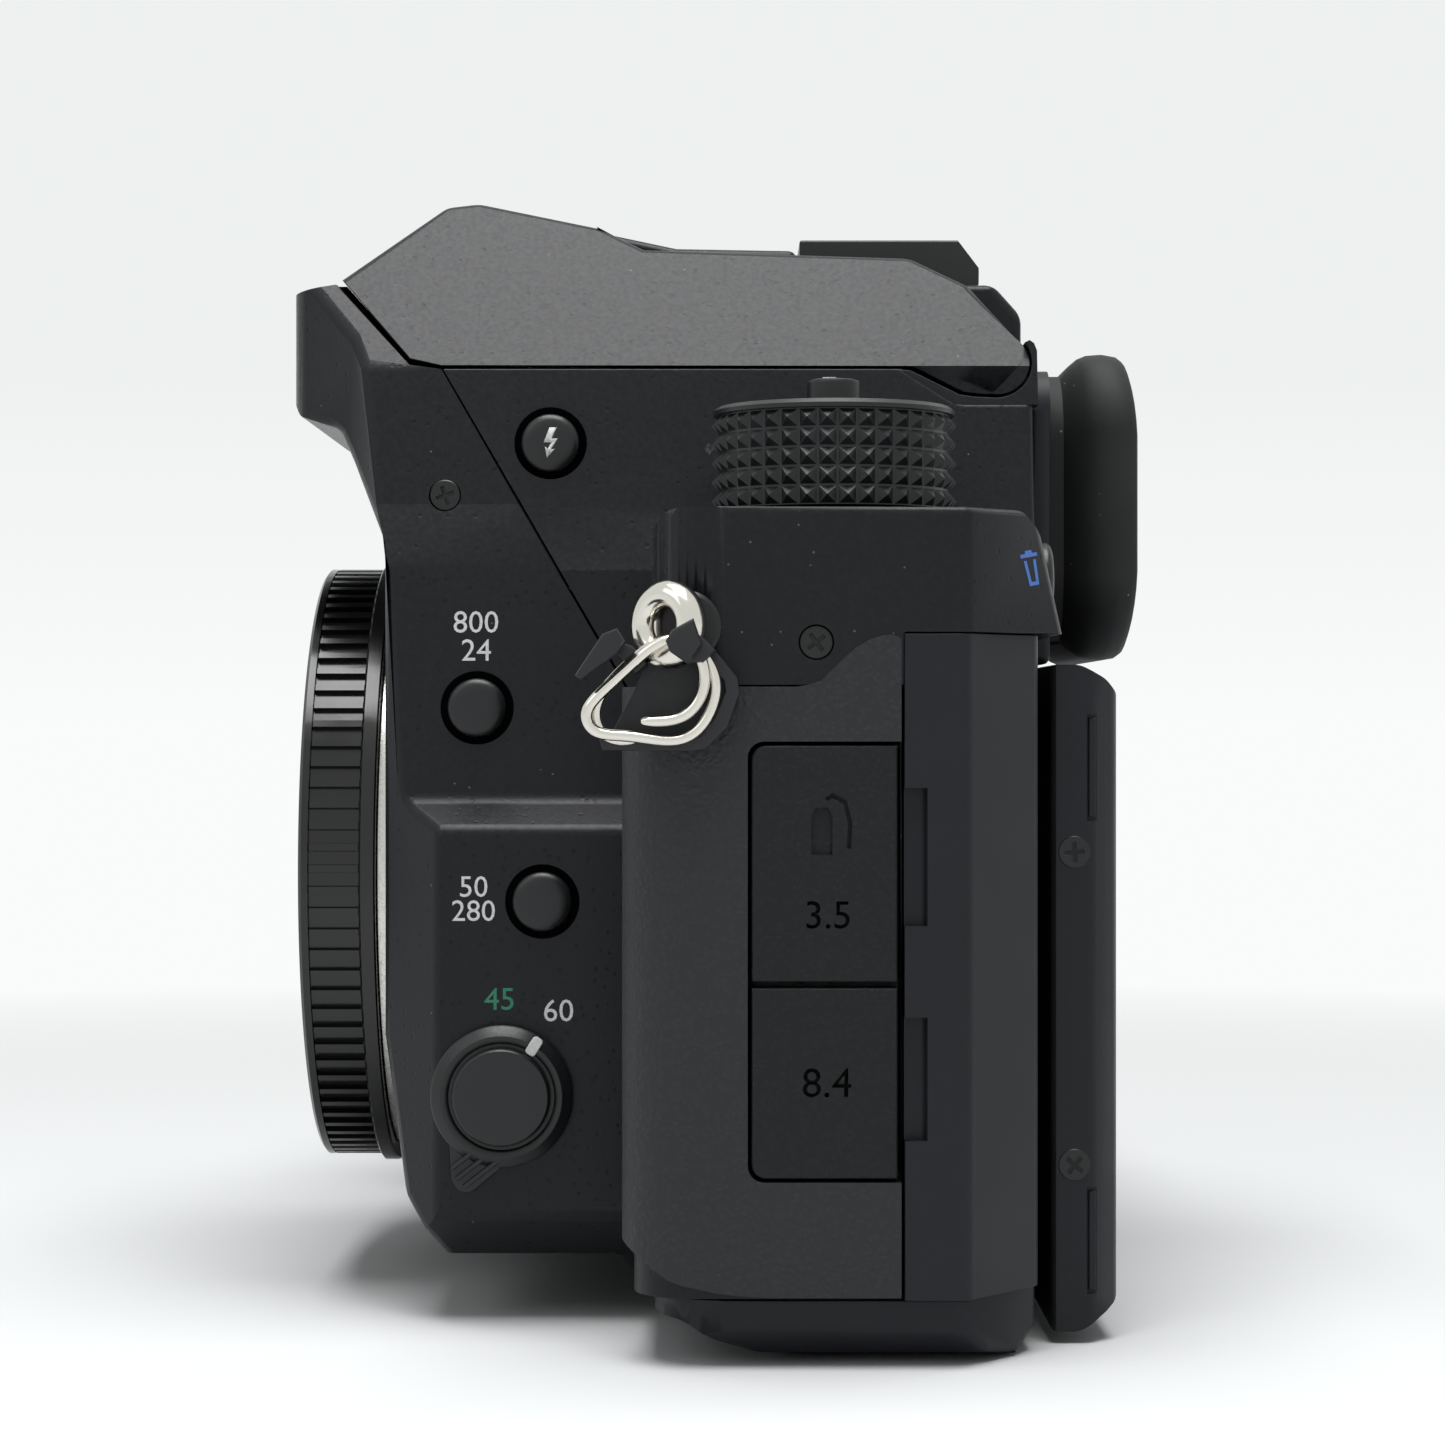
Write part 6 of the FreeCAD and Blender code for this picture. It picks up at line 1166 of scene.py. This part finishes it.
def shapeShells():
    # slanted rear ends of the shoe's rails and cover, and the base's tucked corner
    cuts = {
        "hot_shoe": ("shoeEndCut", 12, [
            (22.1, 98.5), (24.3, 95.6), (24.3, 94.1), (23.9, 93.2), (26, 93.2), (26, 98.5)]),
        "shoe_cover": ("slideEndCut", 12, [
            (22.2, 98.5), (24.4, 95.6), (24.4, 94), (26, 94), (26, 98.5)]),
        "bottom_cover": ("footCut", 24.3, [
            (-9.6, -0.3), (-9.6, 4.15), (-9.25, 4.15), (-6.2, 0.6), (-6.2, -0.3)]),
    }
    for source, (name, half, outline) in cuts.items():
        carved(cases[source], sidePlate(name, outline, -half, half))


def makeBolt():
    # laid on the flash key's crown by taking what the bolt and a slightly higher crown share
    bolt = [(-0.05, 1.5), (0.65, 1.5), (0.15, 0.4), (0.75, 0.4), (0.08, -0.72), (0.48, -0.62), (-0.3, -1.5),
            (-0.52, -0.4), (-0.2, -0.6), (0.12, 0.02), (-0.62, 0.02)]
    mark = sidePlate("boltMark", [(v * 0.9, u * 0.9) for v, u in bolt], -0.6, 0.5)
    crown = turned("boltCrown", domed(-3, 0.025, 2.6), "left", (0, 0, 0), 48)
    modify(mark, "BOOLEAN", operation="INTERSECT", object=crown, solver="EXACT")
    bpy.data.objects.remove(crown)
    mark.location = spot(29.6, -15.4, 77.5)
    settle(mark)
    finishPiece(mark, "flash_button", "key_plastic", finish=inks["white"])


def makeMarks():
    side = cases["front_cover"]
    hump = cases["top_cover"]
    words = {"upperKeyNumeralA": ("800", 2.75, -21.85, 61.3, "white"),
             "upperKeyNumeralB": ("24", 2.75, -21.8, 58.8, "white"),
             "lowerKeyNumeralA": ("50", 2.6, -21.7, 38.1, "white"),
             "lowerKeyNumeralB": ("280", 2.6, -21.7, 36, "white"),
             "leverNumeralA": ("45", 2.75, -19.4, 28.3, "green"),
             "leverNumeralB": ("60", 2.75, -14.3, 27.3, "white")}
    for name, (text, size, y, z, ink) in words.items():
        printed(numeral(name, text, size), "left", (40, y, z), side, "casing", "casing_paint", ink)
    shapes = {
        "planeMark": ((32, -1.2, 77), "black", 0, [(-0.45, 0), (0, -0.62), (0.45, 0), (0, 0.62)]),
        "deleteLid": ((56, 25.5, 65), "blue", 12, [
            (-0.75, 1.15), (0.75, 1.15), (0.75, 1.45), (0.3, 1.45), (0.3, 1.7), (-0.3, 1.7), (-0.3, 1.45),
            (-0.75, 1.45)]),
        "deleteBin": ((56, 25.5, 65), "blue", 12, [
            (-0.55, 0.9), (-0.42, -1.2), (0.42, -1.2), (0.55, 0.9), (0.3, 0.9), (0.2, -0.9), (-0.2, -0.9),
            (-0.3, 0.9)]),
        "dialIndex": ((32, 9.6, 83.35), "white", 0, oblong(-0.6, -0.2, 0.6, 0.2)),
    }
    for name, (place, ink, turn, outline) in shapes.items():
        printed(laid(name, outline), "left", place, hump, "casing", "casing_paint", ink, turn)


makeScrews()
makeSlotBars()
makeGapShade()
makeHumpLips()
makeCornerFill()
makeHoodEnds()
shapeShells()
makeBolt()
makeMarks()
print("small parts made")

unpick()
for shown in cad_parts.values():
    if not shown.hide_render:
        slot = shown.data.materials[0].name.split(".")[0]
        shown.data.materials.clear()
        shown.data.materials.append(finishes[slot])


# Stage

def makeStage():
    stage = {"reach": 1.6, "pale": "#e4e6e7", "far": "#f9fbfa", "fadeFrom": 0.11, "fadeTo": 0.36}
    bpy.ops.mesh.primitive_circle_add(vertices=96, radius=stage["reach"], fill_type="NGON",
                                      location=(0, 0, boxLow.z - 0.02 * mm))
    floor = newest("floor")
    finish, tree, surface, where = newFinish("paleFloor", stage["pale"], 0.1, Roughness=0.9)
    away = node(tree, "VectorMath", {"operation": "LENGTH"}, links={0: where})
    fade = spread(tree, away.outputs["Value"], 0, 1, stage["fadeFrom"], stage["fadeTo"])
    amount = reckon(tree, "MULTIPLY", seenStraight(tree), fade)
    pale = node(tree, "Emission", values={"Color": tone(stage["far"]), "Strength": 1})
    mix = node(tree, "MixShader", links={0: amount, 1: surface.outputs[0], 2: pale.outputs[0]})
    feed(next(part for part in tree.nodes if part.type == "OUTPUT_MATERIAL"), "Surface", mix.outputs[0])
    floor.data.materials.append(finish)


def makeWorld():
    world = bpy.data.worlds.new("studio")
    bpy.context.scene.world = world
    world.use_nodes = True
    tree = world.node_tree
    tree.nodes.clear()
    soft = node(tree, "Background", values={"Color": tone("#ffffff"), "Strength": 0.27})
    way = node(tree, "SeparateXYZ", links={0: node(tree, "TexCoord").outputs["Generated"]})
    wall = tinted(tree, "#f9fbfa", "#eef1ef", spread(tree, way.outputs["Z"], 0, 1, 0, 0.1))
    pale = node(tree, "Background", values={"Strength": 1}, links={"Color": wall})
    mix = node(tree, "MixShader", links={0: seenStraight(tree), 1: soft.outputs[0], 2: pale.outputs[0]})
    node(tree, "OutputWorld", links={"Surface": mix.outputs[0]})


def makeLamps():
    lamps = {"top": ((0.13, 0, 0.62), 0.46, 0.4, 4.6), "window": ((0.35, -0.45, 0.5), 0.4, 0.4, 0.4)}
    for name, (place, size, across, power) in lamps.items():
        bpy.ops.object.light_add(type="AREA", location=place)
        lamp = newest(name)
        lamp.data.shape = "RECTANGLE"
        lamp.data.size = size
        lamp.data.size_y = across
        lamp.data.energy = power
        if name == "window":
            lamp.rotation_euler = (Vector((0, 0, 0.05)) - lamp.location).to_track_quat("-Z", "Y").to_euler()


def makeCamera():
    lens = {"distance": 337, "height": 52.5, "focal": 85.78}
    bpy.ops.object.camera_add(location=spot(lens["distance"], 0, lens["height"]),
                              rotation=(math.radians(90), 0, math.radians(90)))
    camera = bpy.context.active_object
    camera.data.lens = lens["focal"]
    camera.data.sensor_width = 36
    camera.data.clip_start = 0.01
    bpy.context.scene.camera = camera


makeStage()
makeWorld()
makeLamps()
makeCamera()
bpy.context.scene.view_settings.view_transform = "Standard"
print("stage set")
